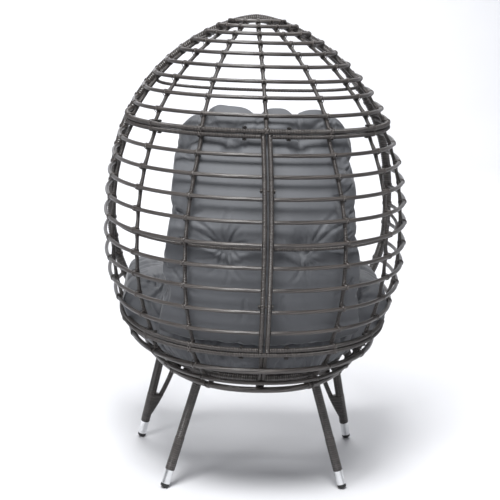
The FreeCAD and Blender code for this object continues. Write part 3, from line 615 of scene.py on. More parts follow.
def blend_colours(tree, factor, low, high):
    node = tree.nodes.new("ShaderNodeMix")
    node.data_type = "RGBA"
    put(tree, node.inputs["Factor"], factor)
    for name, colour in (("A", low), ("B", high)):
        socket = [s for s in node.inputs if s.name == name and s.type == "RGBA"][0]
        if isinstance(colour, tuple):
            socket.default_value = (*colour, 1)
        else:
            tree.links.new(colour, socket)
    return [s for s in node.outputs if s.type == "RGBA"][0]


def new_material(name):
    made = bpy.data.materials.new(name)
    made.use_nodes = True
    tree = made.node_tree
    return made, tree, tree.nodes["Principled BSDF"]


def bump(tree, shader, height, depth):
    node = tree.nodes.new("ShaderNodeBump")
    node.inputs["Distance"].default_value = depth
    put(tree, node.inputs["Height"], height)
    tree.links.new(node.outputs["Normal"], shader.inputs["Normal"])


# Materials

# painted shade: the colour towards which the grooves between wound strands are darkened
GROOVE_SHADE_COLOUR = (0.07, 0.065, 0.065)
RESIN_BASE = (0.034, 0.029, 0.027)
RESIN_PALE = (0.090, 0.078, 0.071)


def wound_material(name, pitch, starts, lay, depth, groove=0.55):
    """Flat resin strands round a tube. Their count so far along is starts times the turn
    round it, plus the distance over the pitch, or over the lay where strands are laid
    along the tube; between strands lies a narrow groove, and groove is how far painted
    shade darkens the colour there."""
    made, tree, shader = new_material(name)
    uv = tree.nodes.new("ShaderNodeUVMap")
    uv.uv_map = "UVMap"
    along, turn, _ = split(tree, uv.outputs[0])
    count = along / pitch + turn * starts if lay is None else turn * starts + along / lay
    across = (count.fract() * 2 - 1).abs()
    crown = (across ** 2.4) * -1 + 1
    strand = random_of(tree, count.floor())
    place = tree.nodes.new("ShaderNodeTexCoord").outputs["Object"]
    patches = noise(tree, place, 14.0)
    grain_at = joined(tree, along * 60.0, across * 3.0 + strand * 20.0, turn * 5.0)
    grain = noise(tree, grain_at, 4.0, 3.0)
    tone = strand * 0.35 + patches * 0.45 + grain * 0.35 - 0.12
    colour = blend_colours(tree, tone.between(0.15, 0.95), RESIN_BASE, RESIN_PALE)
    # painted shade in the grooves between strands, darkest where crown is low
    shade = crown.between(0.25, 0.95) * groove + (1 - groove)
    shaded_in_grooves = blend_colours(tree, shade, GROOVE_SHADE_COLOUR, (1, 1, 1))
    mix = tree.nodes.new("ShaderNodeMix")
    mix.data_type, mix.blend_type = "RGBA", "MULTIPLY"
    mix.inputs["Factor"].default_value = 1.0
    colours = [s for s in mix.inputs if s.type == "RGBA"]
    tree.links.new(colour, colours[0])
    tree.links.new(shaded_in_grooves, colours[1])
    tree.links.new([s for s in mix.outputs if s.type == "RGBA"][0], shader.inputs["Base Color"])
    put(tree, shader.inputs["Roughness"], grain * 0.14 + patches * 0.10 + 0.20)
    shader.inputs["IOR"].default_value = 1.6
    bump(tree, shader, crown + grain * 0.12, depth)
    return made


CROSS_WOUND = wound_material("cross_wound_resin", CLOSE[0], 1.0, None, 0.0007, 0.9)
WIDE_WOUND = wound_material("wide_wound_resin", WIDE[0], 1.0, None, 0.0007, 0.85)
LONG_WOUND = wound_material("long_laid_resin", 0.1, 6.0, 0.085, 0.0007, 0.5)
STRAND = wound_material("single_strand_resin", 0.02, 3.0, 0.5, 0.0002, 0.15)


def plain_material(name, colour, roughness, metallic=0.0, fine=0.0, scale=300.0, streak=(1, 1, 1)):
    """One colour with slight patches, and a fine grain that streaks along one axis."""
    made, tree, shader = new_material(name)
    place = tree.nodes.new("ShaderNodeTexCoord").outputs["Object"]
    x, y, z = split(tree, place)
    patches = noise(tree, place, 40.0)
    grain = noise(tree, joined(tree, x * streak[0], y * streak[1], z * streak[2]), scale)
    darker = tuple(c * 0.82 for c in colour)
    tree.links.new(blend_colours(tree, patches, darker, colour), shader.inputs["Base Color"])
    put(tree, shader.inputs["Roughness"], grain * 0.12 + patches * 0.06 + (roughness - 0.09))
    shader.inputs["Metallic"].default_value = metallic
    bump(tree, shader, grain, fine)
    return made


ALUMINIUM = plain_material("polished_aluminium", (0.86, 0.87, 0.88), 0.20, 1.0, 0.00003, 500.0, (1, 1, 0.05))
BLACK_PLASTIC = plain_material("black_plastic", (0.016, 0.016, 0.017), 0.42, 0.0, 0.00006, 900.0)
BOLT_STEEL = plain_material("dark_bolt_steel", (0.045, 0.042, 0.040), 0.38, 0.75, 0.00005, 700.0)


# The shell

CLOSE_WINDING, WIDE_WINDING, LAID_STRANDS = (CLOSE, CROSS_WOUND), (WIDE, WIDE_WOUND), (None, LONG_WOUND)


def wound(node, lines, radius, finish, **more):
    """The tubes of one node, a run for each line, with their winding and its material."""
    wind, material = finish
    tubes(node + "_wound", [run(line, radius, wind=wind, **more) for line in lines], material, node)


def both_sides(z):
    turns = [float(rib_turn(n, z)) for n in range(3)]
    return turns + [-t for t in turns]


def make_dome():
    arch = arch_line(SPLIT_Z_TOP + GAP)
    wound("dome_front_arch", [arch], FRONT_TUBE, WIDE_WINDING, sides=SIDES_FRONT)
    hoop = whole_hoop(DOME_HOOP_Z, outside(DOME_HOOP), OUTER_DRAW, "arch")
    wound("dome_hoop", [hoop], DOME_HOOP, CLOSE_WINDING)
    rungs = [whole_hoop(z, outside(RUNG), OUTER_DRAW, "arch") for z in dome_levels()]
    wound("dome_rungs", rungs, RUNG, LAID_STRANDS)
    inner = whole_hoop(DOME_INNER_HOOP_Z, inside_ribs(INNER_HOOP), 0.0, "arch")
    wound("dome_inner_hoop", [inner], INNER_HOOP, CLOSE_WINDING, sides=SIDES_THIN)
    marks = [DOME_HOOP_Z, *dome_levels(), SHELL_TOP]
    ribs = {None: [], 1: [], -1: []}
    for number, side in [(None, 1)] + [(n, s) for s in (1, -1) for n in range(3)]:
        def line_at(z, bow, number=number, side=side):
            turn = np.zeros_like(z) if number is None else side * rib_turn(number, z)
            return on_wall(z, turn, -outside(RIB) + bow)
        top = SHELL_TOP - 2 * GAP
        z = np.linspace(DOME_HOOP_Z + RIB_END, top, 400)
        far = far_from(line_at(z, np.zeros_like(z)), FRONT_LINES["arch"])
        near = (z > SHELL_TOP - ARCH_REACH) & (far < FRONT_TUBE + GAP)
        last = z[np.argmax(near)] if near.any() else top
        rib = rib_run(line_at, DOME_HOOP_Z + RIB_END, last, marks)
        ribs[None if number is None else side].append(rib)
    tubes("dome_centre_rib_wound", ribs[None], CROSS_WOUND, "dome_centre_rib")
    tubes("dome_ribs_wound", ribs[1] + ribs[-1], CROSS_WOUND, "dome_ribs")
    crossings = []
    for z, line in zip(dome_levels(), rungs):
        for turn in both_sides(z) + [0.0]:
            here = at_height(z, np.array([turn]), outside(RUNG))[0]
            if far_from(here[None], FRONT_LINES["arch"])[0] > FRONT_TUBE + LASH_ROOM:
                crossings += crossing(float(z), turn, RUNG)
    for turn in both_sides(DOME_HOOP_Z) + [0.0]:
        crossings += crossing(DOME_HOOP_Z + 0.0001, turn, DOME_HOOP)
    tubes("dome_lashings", crossings, STRAND)
    bands = [band(FRONT_LINES["arch"], end, FRONT_TUBE) for line in rungs + [hoop]
             for end in (line[0], line[-1])]
    tubes("dome_arch_bands", bands, CROSS_WOUND)


def strip_on(points, outward, radius):
    """A flat strand laid along a tube. It rises and dips as the sine of the distance."""
    line = resampled(points, STRIP_STEP)
    far = np.arange(len(line)) * STRIP_STEP
    wave = np.sin(2 * math.pi * far / STRIP_PITCH)
    lift = radius - STRIP_SINK + STRIP_DIP * wave
    return run(line + outward * lift[:, None], STRIP_HALF, STRIP_FLAT,
               np.broadcast_to(outward, line.shape), sides=6, step=None)


def make_panel(name, side):
    seam = SEAM_SPACING / 2
    reach = seam + SEAM_RAIL + GAP
    line_of = lambda z, radius: half_hoop(z, outside(radius), OUTER_DRAW, side, reach)
    for label, z in (("top_rail", TOP_RAIL_Z), ("bottom_rail", BOTTOM_RAIL_Z)):
        wound(name + "_" + label, [line_of(z, RAIL)], RAIL, CLOSE_WINDING)
    rungs = [line_of(z, RUNG) for z in panel_levels()]
    wound(name + "_rungs", rungs, RUNG, LAID_STRANDS)
    inner = half_hoop(PANEL_INNER_HOOP_Z, inside_ribs(INNER_HOOP), 0.0, side,
                      seam + SEAM_RAIL + 4 * GAP)
    wound(name + "_inner_hoop", [inner], INNER_HOOP, CLOSE_WINDING, sides=SIDES_THIN)
    z = np.linspace(BOTTOM_RAIL_Z - RAIL, TOP_RAIL_Z + RAIL, 160)
    rail = at_height(z, np.zeros_like(z), outside(RUNG))
    rail[:, 0] = side * seam
    wound(name + "_seam_rail", [rail], SEAM_RAIL, CLOSE_WINDING)
    outward = unit(np.array([side * 0.35, 1.0, 0.1]))
    tubes(name + "_seam_strand", [strip_on(rail, outward, SEAM_RAIL)], STRAND)
    marks = [BOTTOM_RAIL_Z, *panel_levels(), TOP_RAIL_Z]
    ribs = []
    for number in range(3):
        def line_at(z, bow, number=number):
            return on_wall(z, side * rib_turn(number, z), -outside(RIB) + bow)
        ribs.append(rib_run(line_at, BOTTOM_RAIL_Z + RIB_END, TOP_RAIL_Z - RIB_END, marks))
    tubes(name + "_ribs_wound", ribs, CROSS_WOUND, name + "_ribs")
    crossings = []
    for z, radius in [(z, RUNG) for z in panel_levels()] + [(TOP_RAIL_Z, RAIL), (BOTTOM_RAIL_Z, RAIL)]:
        for number in range(3):
            crossings += crossing(float(z), side * float(rib_turn(number, z)), radius)
    tubes(name + "_lashings", crossings, STRAND)
    front = side_line(side, SPLIT_Z_LOW + 0.0001, SPLIT_Z_TOP - GAP)
    wound(name + "_front_rail", [front], FRONT_TUBE, WIDE_WINDING, sides=SIDES_FRONT)
    bands = [band(FRONT_LINES[side], line[-1], FRONT_TUBE) for line in rungs]
    tubes(name + "_front_bands", bands, CROSS_WOUND)


def make_bowl():
    hoop = lambda z, r: whole_hoop(z, outside(r), OUTER_DRAW, "floor")
    lower = {"bowl_hoop": (BOWL_HOOP_Z, RAIL), "bowl_upper_rung": (BOWL_UPPER_RUNG_Z, BOWL_UPPER_RUNG),
             "bowl_lower_rung": (BOWL_LOWER_RUNG_Z, RUNG), "base_hoop": (BASE_HOOP_Z, BASE_HOOP)}
    for node, (z, radius) in lower.items():
        wound(node, [hoop(z, radius)], radius, CLOSE_WINDING if node == "bowl_hoop" else LAID_STRANDS)
    ring = whole_hoop(SEAT_RING_Z, inside_ribs(SEAT_RING), 0.0, "floor")
    wound("seat_ring", [ring], SEAT_RING, WIDE_WINDING, sides=SIDES_RING)
    wound("bowl_front_bar", [floor_bar_line()], FRONT_TUBE, WIDE_WINDING, sides=SIDES_FRONT)
    marks = [BASE_HOOP_Z, BOWL_LOWER_RUNG_Z, BOWL_UPPER_RUNG_Z, BOWL_HOOP_Z]
    ribs, centre = [], []
    for side in (1, -1):
        for number in (0, 1, 2, None):
            def line_at(z, bow, number=number):
                if number is None:
                    return on_wall(z, np.zeros_like(z), -outside(RIB) + bow) + (side * outside(RIB), 0, 0)
                return on_wall(z, side * rib_turn(number, z), -outside(RIB) + bow)
            turn = 0.0 if number is None else float(rib_turn(number, BOWL_LOWER_RUNG_Z))
            made = rib_run(line_at, float(base_level(turn)), BOWL_HOOP_Z - RIB_END, marks)
            (centre if number is None else ribs).append(made)
    tubes("bowl_ribs_wound", ribs, CROSS_WOUND, "bowl_ribs")
    tubes("bowl_centre_rib_wound", centre, CROSS_WOUND, "bowl_centre_rib")
    crossings = []
    for z, radius in lower.values():
        for turn in both_sides(z):
            level = float(base_level(turn)) if z == BASE_HOOP_Z else z
            crossings += crossing(level, turn, radius)
    tubes("bowl_lashings", crossings, STRAND)


def leg_axis(place, side):
    foot_x, foot_y = FEET[place]
    centre = np.array([side * foot_x, foot_y, FOOT_DOME - FOOT_FLAT])
    top = np.array([side * LEG_TOP_X[place], CROSS_BAR_Y[place], BASE_SIDE_Z - CROSS_BAR])
    return centre, top, unit(top - centre)


def make_leg(place, name, side):
    label = place + "_" + name + "_"
    centre, top, along = leg_axis(place, side)
    start = -math.sqrt(FOOT_DOME ** 2 - FOOT_RADIUS ** 2) + FOOT_RIM + SLEEVE_LENGTH + 2 * GAP
    end = (LEG_CUT_Z - centre[2]) / along[2]
    line = centre + along * np.linspace(start, end, 60)[:, None]
    wound(label + "leg", [line], LEG_TUBE, WIDE_WINDING, sides=SIDES_FRONT, cut=LEG_CUT_Z)

    low = centre + along * BRACE_START
    inward = FRONT_BRACE_INWARD if place == "front" else REAR_BRACE_INWARD
    high = top - np.array([side * inward, 0, 0])
    if place == "rear":
        high[1] = CROSS_BAR_Y["middle"]
    high[2] += BRACE
    chord = unit(high - low)
    away = unit(chord - along * chord.dot(along))
    brace = hermite([low, high], [unit(chord + away * BRACE_BOW), unit(chord - away * BRACE_BOW)], 90)
    shown = brace[brace[:, 2] < LEG_CUT_Z]
    runs = [run(shown, BRACE, sides=SIDES_BRACE, cut=LEG_CUT_Z, wind=WIDE)]
    tubes(label + "brace_wound", runs, WIDE_WOUND, label + "leg_brace")

    places = (brace - low) @ along + BRACE_START
    spans = (brace - low) @ away
    across = np.cross(along, away)
    angle = np.arange(40) * 2 * math.pi / 40
    rows = []
    for s in np.arange(start + 0.001, WEB_TOP, WIDE[0] / WIND_RINGS):
        reach = np.interp(s, places, spans) if s > BRACE_START else 0.0
        swell = WEB_SKIN + WIDE[1] * strand_height((s - start) / WIDE[0])
        leg_out, brace_out = LEG_TUBE + swell, BRACE + swell
        on_brace = reach * np.cos(angle) + brace_out > leg_out
        on_brace &= reach > 0
        out = np.where(on_brace, reach + brace_out * np.cos(angle), leg_out * np.cos(angle))
        wide = np.where(on_brace, brace_out, leg_out) * np.sin(angle)
        dip = WEB_DIP * max(0.0, (s - WEB_TOP + WEB_DIP_LENGTH) / WEB_DIP_LENGTH)
        sag = dip * np.clip(1 - (2 * out / max(reach, 1e-3) - 1) ** 2, 0, 1)
        rows.append(centre + along * (s - sag)[:, None] + away * out[:, None] + across * wide[:, None])
    web = loft(label + "web_wound", np.array(rows), WIDE_WOUND)
    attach(web, "frame")
    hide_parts(label + "leg_web")
    lean = unit(np.cross(along, unit(np.array([1.0, 0.35 * side, 0]))))
    outward = unit(lean * (1 if lean[1] > 0 else -1) + across * 0.2)
    outward = unit(outward - along * outward.dot(along))
    strand = centre + along * np.linspace(start + 0.004, end - 0.01, 10)[:, None]
    tubes(label + "leg_strand", [strip_on(strand, outward, LEG_TUBE + WEB_SKIN)], STRAND)


def loft(name, rows, material):
    """A closed skin through rings of points, with its texture run along the rings' centres."""
    count, sides = rows.shape[:2]
    middles = rows.mean(axis=1)
    far = np.concatenate([[0], np.cumsum(np.linalg.norm(np.diff(middles, axis=0), axis=1))])
    quads, uvs = ring_faces(count, sides, 0, False, far)
    caps = [[k * sides + j for j in range(sides)][::order] for k, order in ((0, -1), (count - 1, 1))]
    uvs = np.concatenate([uvs, [(far[0], 0.5)] * sides, [(far[-1], 0.5)] * sides])
    made = new_object(name, rows.reshape(-1, 3), quads, caps, uvs)
    made.data.materials.append(material)
    return made


make_dome()
for label, hand in SIDES.items():
    make_panel(label, hand)
make_bowl()
for where in FEET:
    for label, hand in SIDES.items():
        make_leg(where, label, hand)


def dress(nodes, material):
    for name in nodes:
        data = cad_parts[name].data
        data.materials.clear()
        data.materials.append(material)


ALL = list(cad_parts)
dress([n for n in ALL if n.endswith("_sleeve")], ALUMINIUM)
dress([n for n in ALL if n.endswith("_foot") or n == "leg_inserts"], BLACK_PLASTIC)
dress([n for n in ALL if n.endswith("_bolts")], BOLT_STEEL)


# Cushion: pads whose covers are blown out from inside and held back at tufts and seams

TUFT_X = 0.112
TUFT_ROWS = (0.778, 1.070)
SEAT_TUFT_Y = (OPENING_Y + 0.1215, OPENING_Y + 0.2665)
BACK_RIM_NOTCHES = ((0.258, 1.040), (0.260, 0.866), (0.190, 1.136), (0.026, 1.150), (-0.096, 1.148),
                    (-0.206, 1.134), (-0.258, 0.997), (-0.261, 0.876), (-0.261, 0.790), (0.262, 0.700))
BACK_FOLDS = (             # from x, z; to x, z; depth and half width
    (0.112, 0.770, 0.258, 0.832, 0.0085, 0.0052), (0.118, 0.776, 0.245, 0.868, 0.0070, 0.0050),
    (0.250, 0.800, 0.150, 0.790, 0.0060, 0.0045), (0.256, 0.872, 0.196, 0.850, 0.0080, 0.0055),
    (0.112, 0.778, 0.106, 0.900, 0.0055, 0.0055), (0.104, 0.778, 0.070, 0.850, 0.0050, 0.0050),
    (0.106, 0.778, 0.020, 0.800, 0.0060, 0.0060), (0.112, 0.770, 0.118, 0.665, 0.0060, 0.0055),
    (0.104, 0.766, 0.070, 0.690, 0.0065, 0.0055), (0.122, 0.768, 0.168, 0.700, 0.0060, 0.0055),
    (0.096, 0.770, 0.030, 0.728, 0.0050, 0.0060), (0.130, 0.770, 0.215, 0.742, 0.0055, 0.0060),
    (-0.112, 0.762, -0.256, 0.852, 0.0080, 0.0058), (-0.118, 0.764, -0.235, 0.905, 0.0060, 0.0060),
    (-0.258, 0.820, -0.150, 0.786, 0.0055, 0.0050), (-0.112, 0.758, -0.108, 0.860, 0.0050, 0.0055),
    (-0.104, 0.752, -0.066, 0.680, 0.0060, 0.0055), (-0.116, 0.750, -0.140, 0.665, 0.0055, 0.0055),
    (-0.104, 0.760, -0.020, 0.790, 0.0050, 0.0060), (-0.124, 0.752, -0.205, 0.715, 0.0055, 0.0060),
    (-0.092, 1.150, -0.092, 1.030, 0.0060, 0.0065), (0.258, 1.040, 0.170, 1.010, 0.0065, 0.0060),
    (0.190, 1.136, 0.160, 1.060, 0.0055, 0.0065), (0.026, 1.150, 0.034, 1.085, 0.0060, 0.0060),
    (-0.206, 1.134, -0.170, 1.050, 0.0060, 0.0065), (-0.258, 0.997, -0.190, 0.965, 0.0075, 0.0055),
    (-0.261, 0.955, -0.185, 0.915, 0.0070, 0.0050), (-0.261, 0.876, -0.170, 0.835, 0.0070, 0.0055),
    (0.262, 0.700, 0.190, 0.640, 0.0070, 0.0060), (-0.262, 0.690, -0.200, 0.640, 0.0065, 0.0060),
    (0.060, 0.640, 0.075, 0.560, 0.0040, 0.0070), (-0.050, 0.650, -0.065, 0.570, 0.0040, 0.0070))
CLOTH_STEPS = 20
PRESSURE = 5.0
BACK_PUFF, SEAT_PUFF = 0.022, 0.024       # the furthest that a cover is blown out
BACK_CELL, SEAT_CELL = 0.0076, 0.008      # cells of a cover before they are made finer
COVER_INSET = 0.004        # how far inside its solid a cover starts
BACK_DRAW_IN = 0.91        # the blown-out pad is this share as wide: nearer to its solid's width
BACK_ROOM = 0.0243         # from the wall to the back pad, past the ribs and inner hoops
BACK_MARGIN = 0.0035       # the back pad starts to flatten this far before that
BACK_EASE = 0.006          # and does so over about this distance
BACK_MIDDLE_Z, SEAT_MIDDLE_Z = 0.92, 0.52 # that the rim's notches are drawn towards
REAR_TUFT, FRONT_TUFT, SEAT_TUFT = (0.009, 0.018), (0.026, 0.030), (0.020, 0.032)  # depth, size
BACK_NOTCH, SEAT_NOTCH = (0.017, 0.024), (0.014, 0.026)
LOW_FLARE = {1: 0.06, -1: 0.04}           # how much wider each lower side of the back pad is
FLARE_Z, FLARE_X = (0.70, 0.86), (0.1, 0.25)               # where that fades out, and in
ROW_PULL, ROW_HEIGHT = 0.3, 0.022         # the dip along the lower row of tufts
BUTTON_RADIUS, BUTTON_RISE, BUTTON_SINK = 0.0125, 0.0055, 0.0015


def vertices_of(mesh):
    points = np.empty(len(mesh.vertices) * 3, np.float32)
    mesh.vertices.foreach_get("co", points)
    return points.reshape(-1, 3).astype(float)


def normals_of(mesh):
    mesh.update()
    out = np.empty(len(mesh.vertices) * 3, np.float32)
    mesh.vertex_normals.foreach_get("vector", out)
    return out.reshape(-1, 3).astype(float)


def move_to(mesh, points):
    mesh.vertices.foreach_set("co", points.astype(np.float32).ravel())
    mesh.update()


def bake(obj):
    """The object's mesh becomes what its modifiers make of it, and they go."""
    graph = bpy.context.evaluated_depsgraph_get()
    shown = bpy.data.meshes.new_from_object(obj.evaluated_get(graph))
    obj.modifiers.clear()
    obj.data = shown


def even_copy(name, node, cell):
    """A pad's solid as one skin of even cells."""
    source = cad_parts[node]
    made = bpy.data.objects.new(name, source.data.copy())
    bpy.context.scene.collection.objects.link(made)
    made.data.transform(source.matrix_world)
    made.data.materials.clear()
    remesh = made.modifiers.new("even", "REMESH")
    remesh.mode, remesh.voxel_size = "VOXEL", cell
    bake(made)
    return made


def blow_out(obj, held, pressure, cap):
    """Runs the cover as cloth under pressure from inside, held at some of its points, and
    keeps the result, with no point further than cap from where it was."""
    start = vertices_of(obj.data)
    group = obj.vertex_groups.new(name="held")
    group.add([int(k) for k in np.nonzero(held)[0]], 1.0, "REPLACE")
    cloth = obj.modifiers.new("cover", "CLOTH")
    values = cloth.settings
    values.quality, values.mass, values.air_damping = 5, 0.3, 2.0
    values.tension_stiffness = values.compression_stiffness = 14.0
    values.shear_stiffness, values.bending_stiffness = 5.0, 0.25
    values.use_pressure, values.uniform_pressure_force = True, pressure
    values.shrink_min = -0.09
    values.vertex_group_mass = "held"
    values.effector_weights.gravity = 0.0
    cloth.collision_settings.use_collision = False
    cloth.collision_settings.use_self_collision = False
    cloth.point_cache.frame_start, cloth.point_cache.frame_end = 1, CLOTH_STEPS
    for step in range(1, CLOTH_STEPS + 1):
        bpy.context.scene.frame_set(step)
    bake(obj)
    bpy.context.scene.frame_set(1)
    obj.vertex_groups.clear()
    moved = vertices_of(obj.data) - start
    size = np.linalg.norm(moved, axis=1, keepdims=True)
    move_to(obj.data, start + moved * np.minimum(1, cap / np.maximum(size, 1e-9)))


def finer(obj):
    made = obj.modifiers.new("finer", "SUBSURF")
    made.levels = made.render_levels = 1
    bake(obj)


def dimple(u, v, places, depth, size):
    """Depth at points u, v of round hollows at some places: a bell curve of the distance."""
    out = np.zeros_like(u)
    for a, b in places:
        out = np.maximum(out, depth * np.exp(-((u - a) ** 2 + (v - b) ** 2) / size ** 2))
    return out


def fold(u, v, start, end, depth, width):
    """Depth of a fold from start to end: a bell across it, between two lower ridges, that is
    deepest near its start, widens along it and fades to its end."""
    run_u, run_v = end[0] - start[0], end[1] - start[1]
    length = math.hypot(run_u, run_v)
    along = ((u - start[0]) * run_u + (v - start[1]) * run_v) / length
    off = ((v - start[1]) * run_u - (u - start[0]) * run_v) / length
    bend = 0.10 * length * np.sin(np.pi * np.clip(along / length, 0, 1)) * (1 if run_u * run_v > 0 else -1)
    spread = width * (0.72 + 0.5 * np.clip(along / length, 0, 1))
    q = (off - bend) / spread
    fade = smooth(along, -0.004, 0.010) * np.clip(1 - along / length, 0, 1) ** 0.8
    return depth * fade * (np.exp(-q ** 2) - 0.42 * np.exp(-((np.abs(q) - 1.9) / 0.9) ** 2))


FABRIC_DARK, FABRIC_PALE = (0.078, 0.082, 0.091), (0.104, 0.109, 0.119)
THREADS = 2300.0           # radians of the weave's wave in a metre


def fabric_material():
    """Woven polyester: fine crossed threads, slight mottling and a broad soft shine."""
    made, tree, shader = new_material("grey_woven_fabric")
    place = tree.nodes.new("ShaderNodeTexCoord").outputs["Object"]
    x, y, z = split(tree, place)
    threads = ((x + y * 0.4) * THREADS).sine() * (z * THREADS).sine()
    mottle = noise(tree, place, 9.0, 3.0)
    fine = noise(tree, place, 420.0, 1.0)
    tone = mottle * 0.6 + fine * 0.4
    tree.links.new(blend_colours(tree, tone.between(0.2, 0.8), FABRIC_DARK, FABRIC_PALE),
                   shader.inputs["Base Color"])
    put(tree, shader.inputs["Roughness"], fine * 0.14 + 0.58)
    shader.inputs["Sheen Weight"].default_value = 0.25
    shader.inputs["Sheen Roughness"].default_value = 0.4
    bump(tree, shader, threads * 0.5 + fine * 0.6, 0.00025)
    return made


FABRIC = fabric_material()


def finish_pad(obj, node):
    obj.data.materials.append(FABRIC)
    obj.data.shade_smooth()
    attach(obj, "cushion")
    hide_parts(node)


def button_at(name, points, normals, place, out):
    """A cloth-covered button: a low dome of revolution on the cover's point nearest to place."""
    facing = np.nonzero(normals @ out > 0.4)[0]
    near = facing[np.argmin(np.linalg.norm(points[facing] - place, axis=1))]
    axis = unit(normals[near] + out)
    first = unit(np.cross(axis, (0.3, 0.5, 0.8)))
    second = np.cross(axis, first)
    rise = np.linspace(0, math.pi / 2 * 0.97, 9)
    angle = np.arange(28) * 2 * math.pi / 28
    ring = np.cos(angle)[:, None] * first + np.sin(angle)[:, None] * second
    rows = np.array([points[near] + axis * (BUTTON_RISE * math.sin(a) - BUTTON_SINK)
                     + ring * BUTTON_RADIUS * math.cos(a) for a in rise])
    base = rows[0] - axis * 0.003
    made = loft(name, np.concatenate([base[None], rows]), FABRIC)
    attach(made, "cushion")


def back_room(points):
    """How far each point may still move back before it comes near the ribs."""
    level = level_in_wall(points[:, 2])
    share = np.clip(np.abs(points[:, 0]) / half_width(level), 0, 1) ** PLAN_POWER
    front = opening_y(level)
    side = front + SIDE_SHARE * (back_y(level) - front)
    return side + (back_y(level) - side) * (1 - share) ** (1 / PLAN_POWER) - BACK_ROOM - points[:, 1]


def make_back_pad():
    pad = even_copy("back_cushion", "back_pad", BACK_CELL)
    points, normals = vertices_of(pad.data), normals_of(pad.data)
    x, z = points[:, 0], points[:, 2]
    tufts = [(s * TUFT_X, row) for s in (1, -1) for row in TUFT_ROWS]
    rear = normals[:, 1] > 0
    low_pull = np.where(rear, dimple(x, z, tufts[::2], 1.0, REAR_TUFT[1]),
                        dimple(x, z, tufts[::2], 1.0, FRONT_TUFT[1]))
    high_pull = dimple(x, z, tufts[1::2], 1.0, FRONT_TUFT[1]) * np.where(rear, 0.0, 1.0)
    pull = np.maximum(low_pull, high_pull)
    row_pull = ROW_PULL * np.exp(-((z - TUFT_ROWS[0]) / ROW_HEIGHT) ** 2)
    depth = np.where(rear, REAR_TUFT[0], -FRONT_TUFT[0]) * np.maximum(pull, row_pull)
    flare = np.where(x > 0, LOW_FLARE[1], LOW_FLARE[-1])
    points[:, 0] *= 1 + flare * (1 - smooth(z, *FLARE_Z)) * smooth(np.abs(x), *FLARE_X)
    points[:, 1] -= depth
    inward = np.stack([-x, 0 * x, BACK_MIDDLE_Z - z], -1)
    points += unit(inward) * dimple(x, z, BACK_RIM_NOTCHES, *BACK_NOTCH)[:, None]
    points -= normals * COVER_INSET
    move_to(pad.data, points)
    held = dimple(x, z, tufts, 1.0, FRONT_TUFT[1]) > 0.93
    held |= dimple(x, z, BACK_RIM_NOTCHES, 1.0, BACK_NOTCH[1]) > 0.85
    blow_out(pad, held, PRESSURE, BACK_PUFF)
    finer(pad)
    points = vertices_of(pad.data)
    points[:, 0] *= BACK_DRAW_IN
    room = back_room(points) - BACK_MARGIN
    points[:, 1] += room - (room + np.sqrt(room ** 2 + BACK_EASE ** 2)) / 2
    move_to(pad.data, points)
    normals = normals_of(pad.data)
    x, z = points[:, 0], points[:, 2]
    deep = sum(fold(x, z, f[0:2], f[2:4], f[4], f[5]) for f in BACK_FOLDS)
    points -= normals * (deep * np.abs(normals[:, 1]) ** 0.5)[:, None]
    points[:, 1] += np.minimum(back_room(points), 0)
    move_to(pad.data, points)
    finish_pad(pad, "back_pad")
    facing = points[:, 1] < points[:, 1].mean()
    for k, (a, b) in enumerate(tufts):
        button_at("back_button_%d" % (k + 1), points[facing], normals[facing], (a, -0.2, b),
                  np.array([0, -1.0, 0]))


SEAT_FOLDS = (             # from x, z; to x, z on the wings' rear faces; depth and half width
    (0.300, 0.600, 0.365, 0.660, 0.0128, 0.0069), (0.305, 0.595, 0.330, 0.680, 0.0112, 0.0069),
    (0.300, 0.590, 0.385, 0.610, 0.0120, 0.0069), (0.290, 0.585, 0.350, 0.545, 0.0104, 0.0075),
    (0.285, 0.600, 0.270, 0.520, 0.0096, 0.0075), (0.330, 0.560, 0.260, 0.480, 0.0080, 0.0081),
    (-0.305, 0.560, -0.370, 0.610, 0.0128, 0.0069), (-0.300, 0.555, -0.340, 0.640, 0.0112, 0.0069),
    (-0.300, 0.560, -0.385, 0.565, 0.0112, 0.0069), (-0.290, 0.545, -0.330, 0.490, 0.0104, 0.0075),
    (-0.320, 0.600, -0.270, 0.500, 0.0096, 0.0075), (0.150, 0.500, 0.170, 0.430, 0.0040, 0.0070),
    (-0.130, 0.500, -0.150, 0.425, 0.0040, 0.0070))
SEAT_RIM_NOTCHES = ((0.300, 0.690), (-0.290, 0.665), (0.396, 0.600), (-0.396, 0.590))


def make_seat_pad():
    pad = even_copy("seat_cushion", "seat_pad", SEAT_CELL)
    points, normals = vertices_of(pad.data), normals_of(pad.data)
    x, y, z = points.T
    tufts = [(s * TUFT_X, row) for s in (1, -1) for row in SEAT_TUFT_Y]
    top = normals[:, 2] > 0.2
    points[:, 2] -= np.where(top, SEAT_TUFT[0], 0.0) * dimple(x, y, tufts, 1.0, SEAT_TUFT[1])
    towards = np.stack([-x, 0 * x, SEAT_MIDDLE_Z - z], -1)
    points += unit(towards) * dimple(x, z, SEAT_RIM_NOTCHES, *SEAT_NOTCH)[:, None]
    points -= normals * COVER_INSET
    move_to(pad.data, points)
    held = (dimple(x, y, tufts, 1.0, SEAT_TUFT[1]) > 0.93) & top
    held |= (dimple(x, z, SEAT_RIM_NOTCHES, 1.0, SEAT_NOTCH[1]) > 0.9) | (normals[:, 2] < -0.97)
    blow_out(pad, held, PRESSURE, SEAT_PUFF)
    finer(pad)
    points, normals = vertices_of(pad.data), normals_of(pad.data)
    x, z = points[:, 0], points[:, 2]
    rear = np.clip(normals[:, 1], 0, 1) ** 0.5
    deep = sum(fold(x, z, f[0:2], f[2:4], f[4], f[5]) for f in SEAT_FOLDS)
    points -= normals * (deep * rear)[:, None]
    rest = SEAT_RING_Z + SEAT_RING + GAP
    points[:, 2] = np.maximum(points[:, 2], rest)
    move_to(pad.data, points)
    finish_pad(pad, "seat_pad")
    for k, (a, b) in enumerate(tufts):
        button_at("seat_button_%d" % (k + 1), points, normals, (a, b, 0.6), np.array([0, 0, 1.0]))


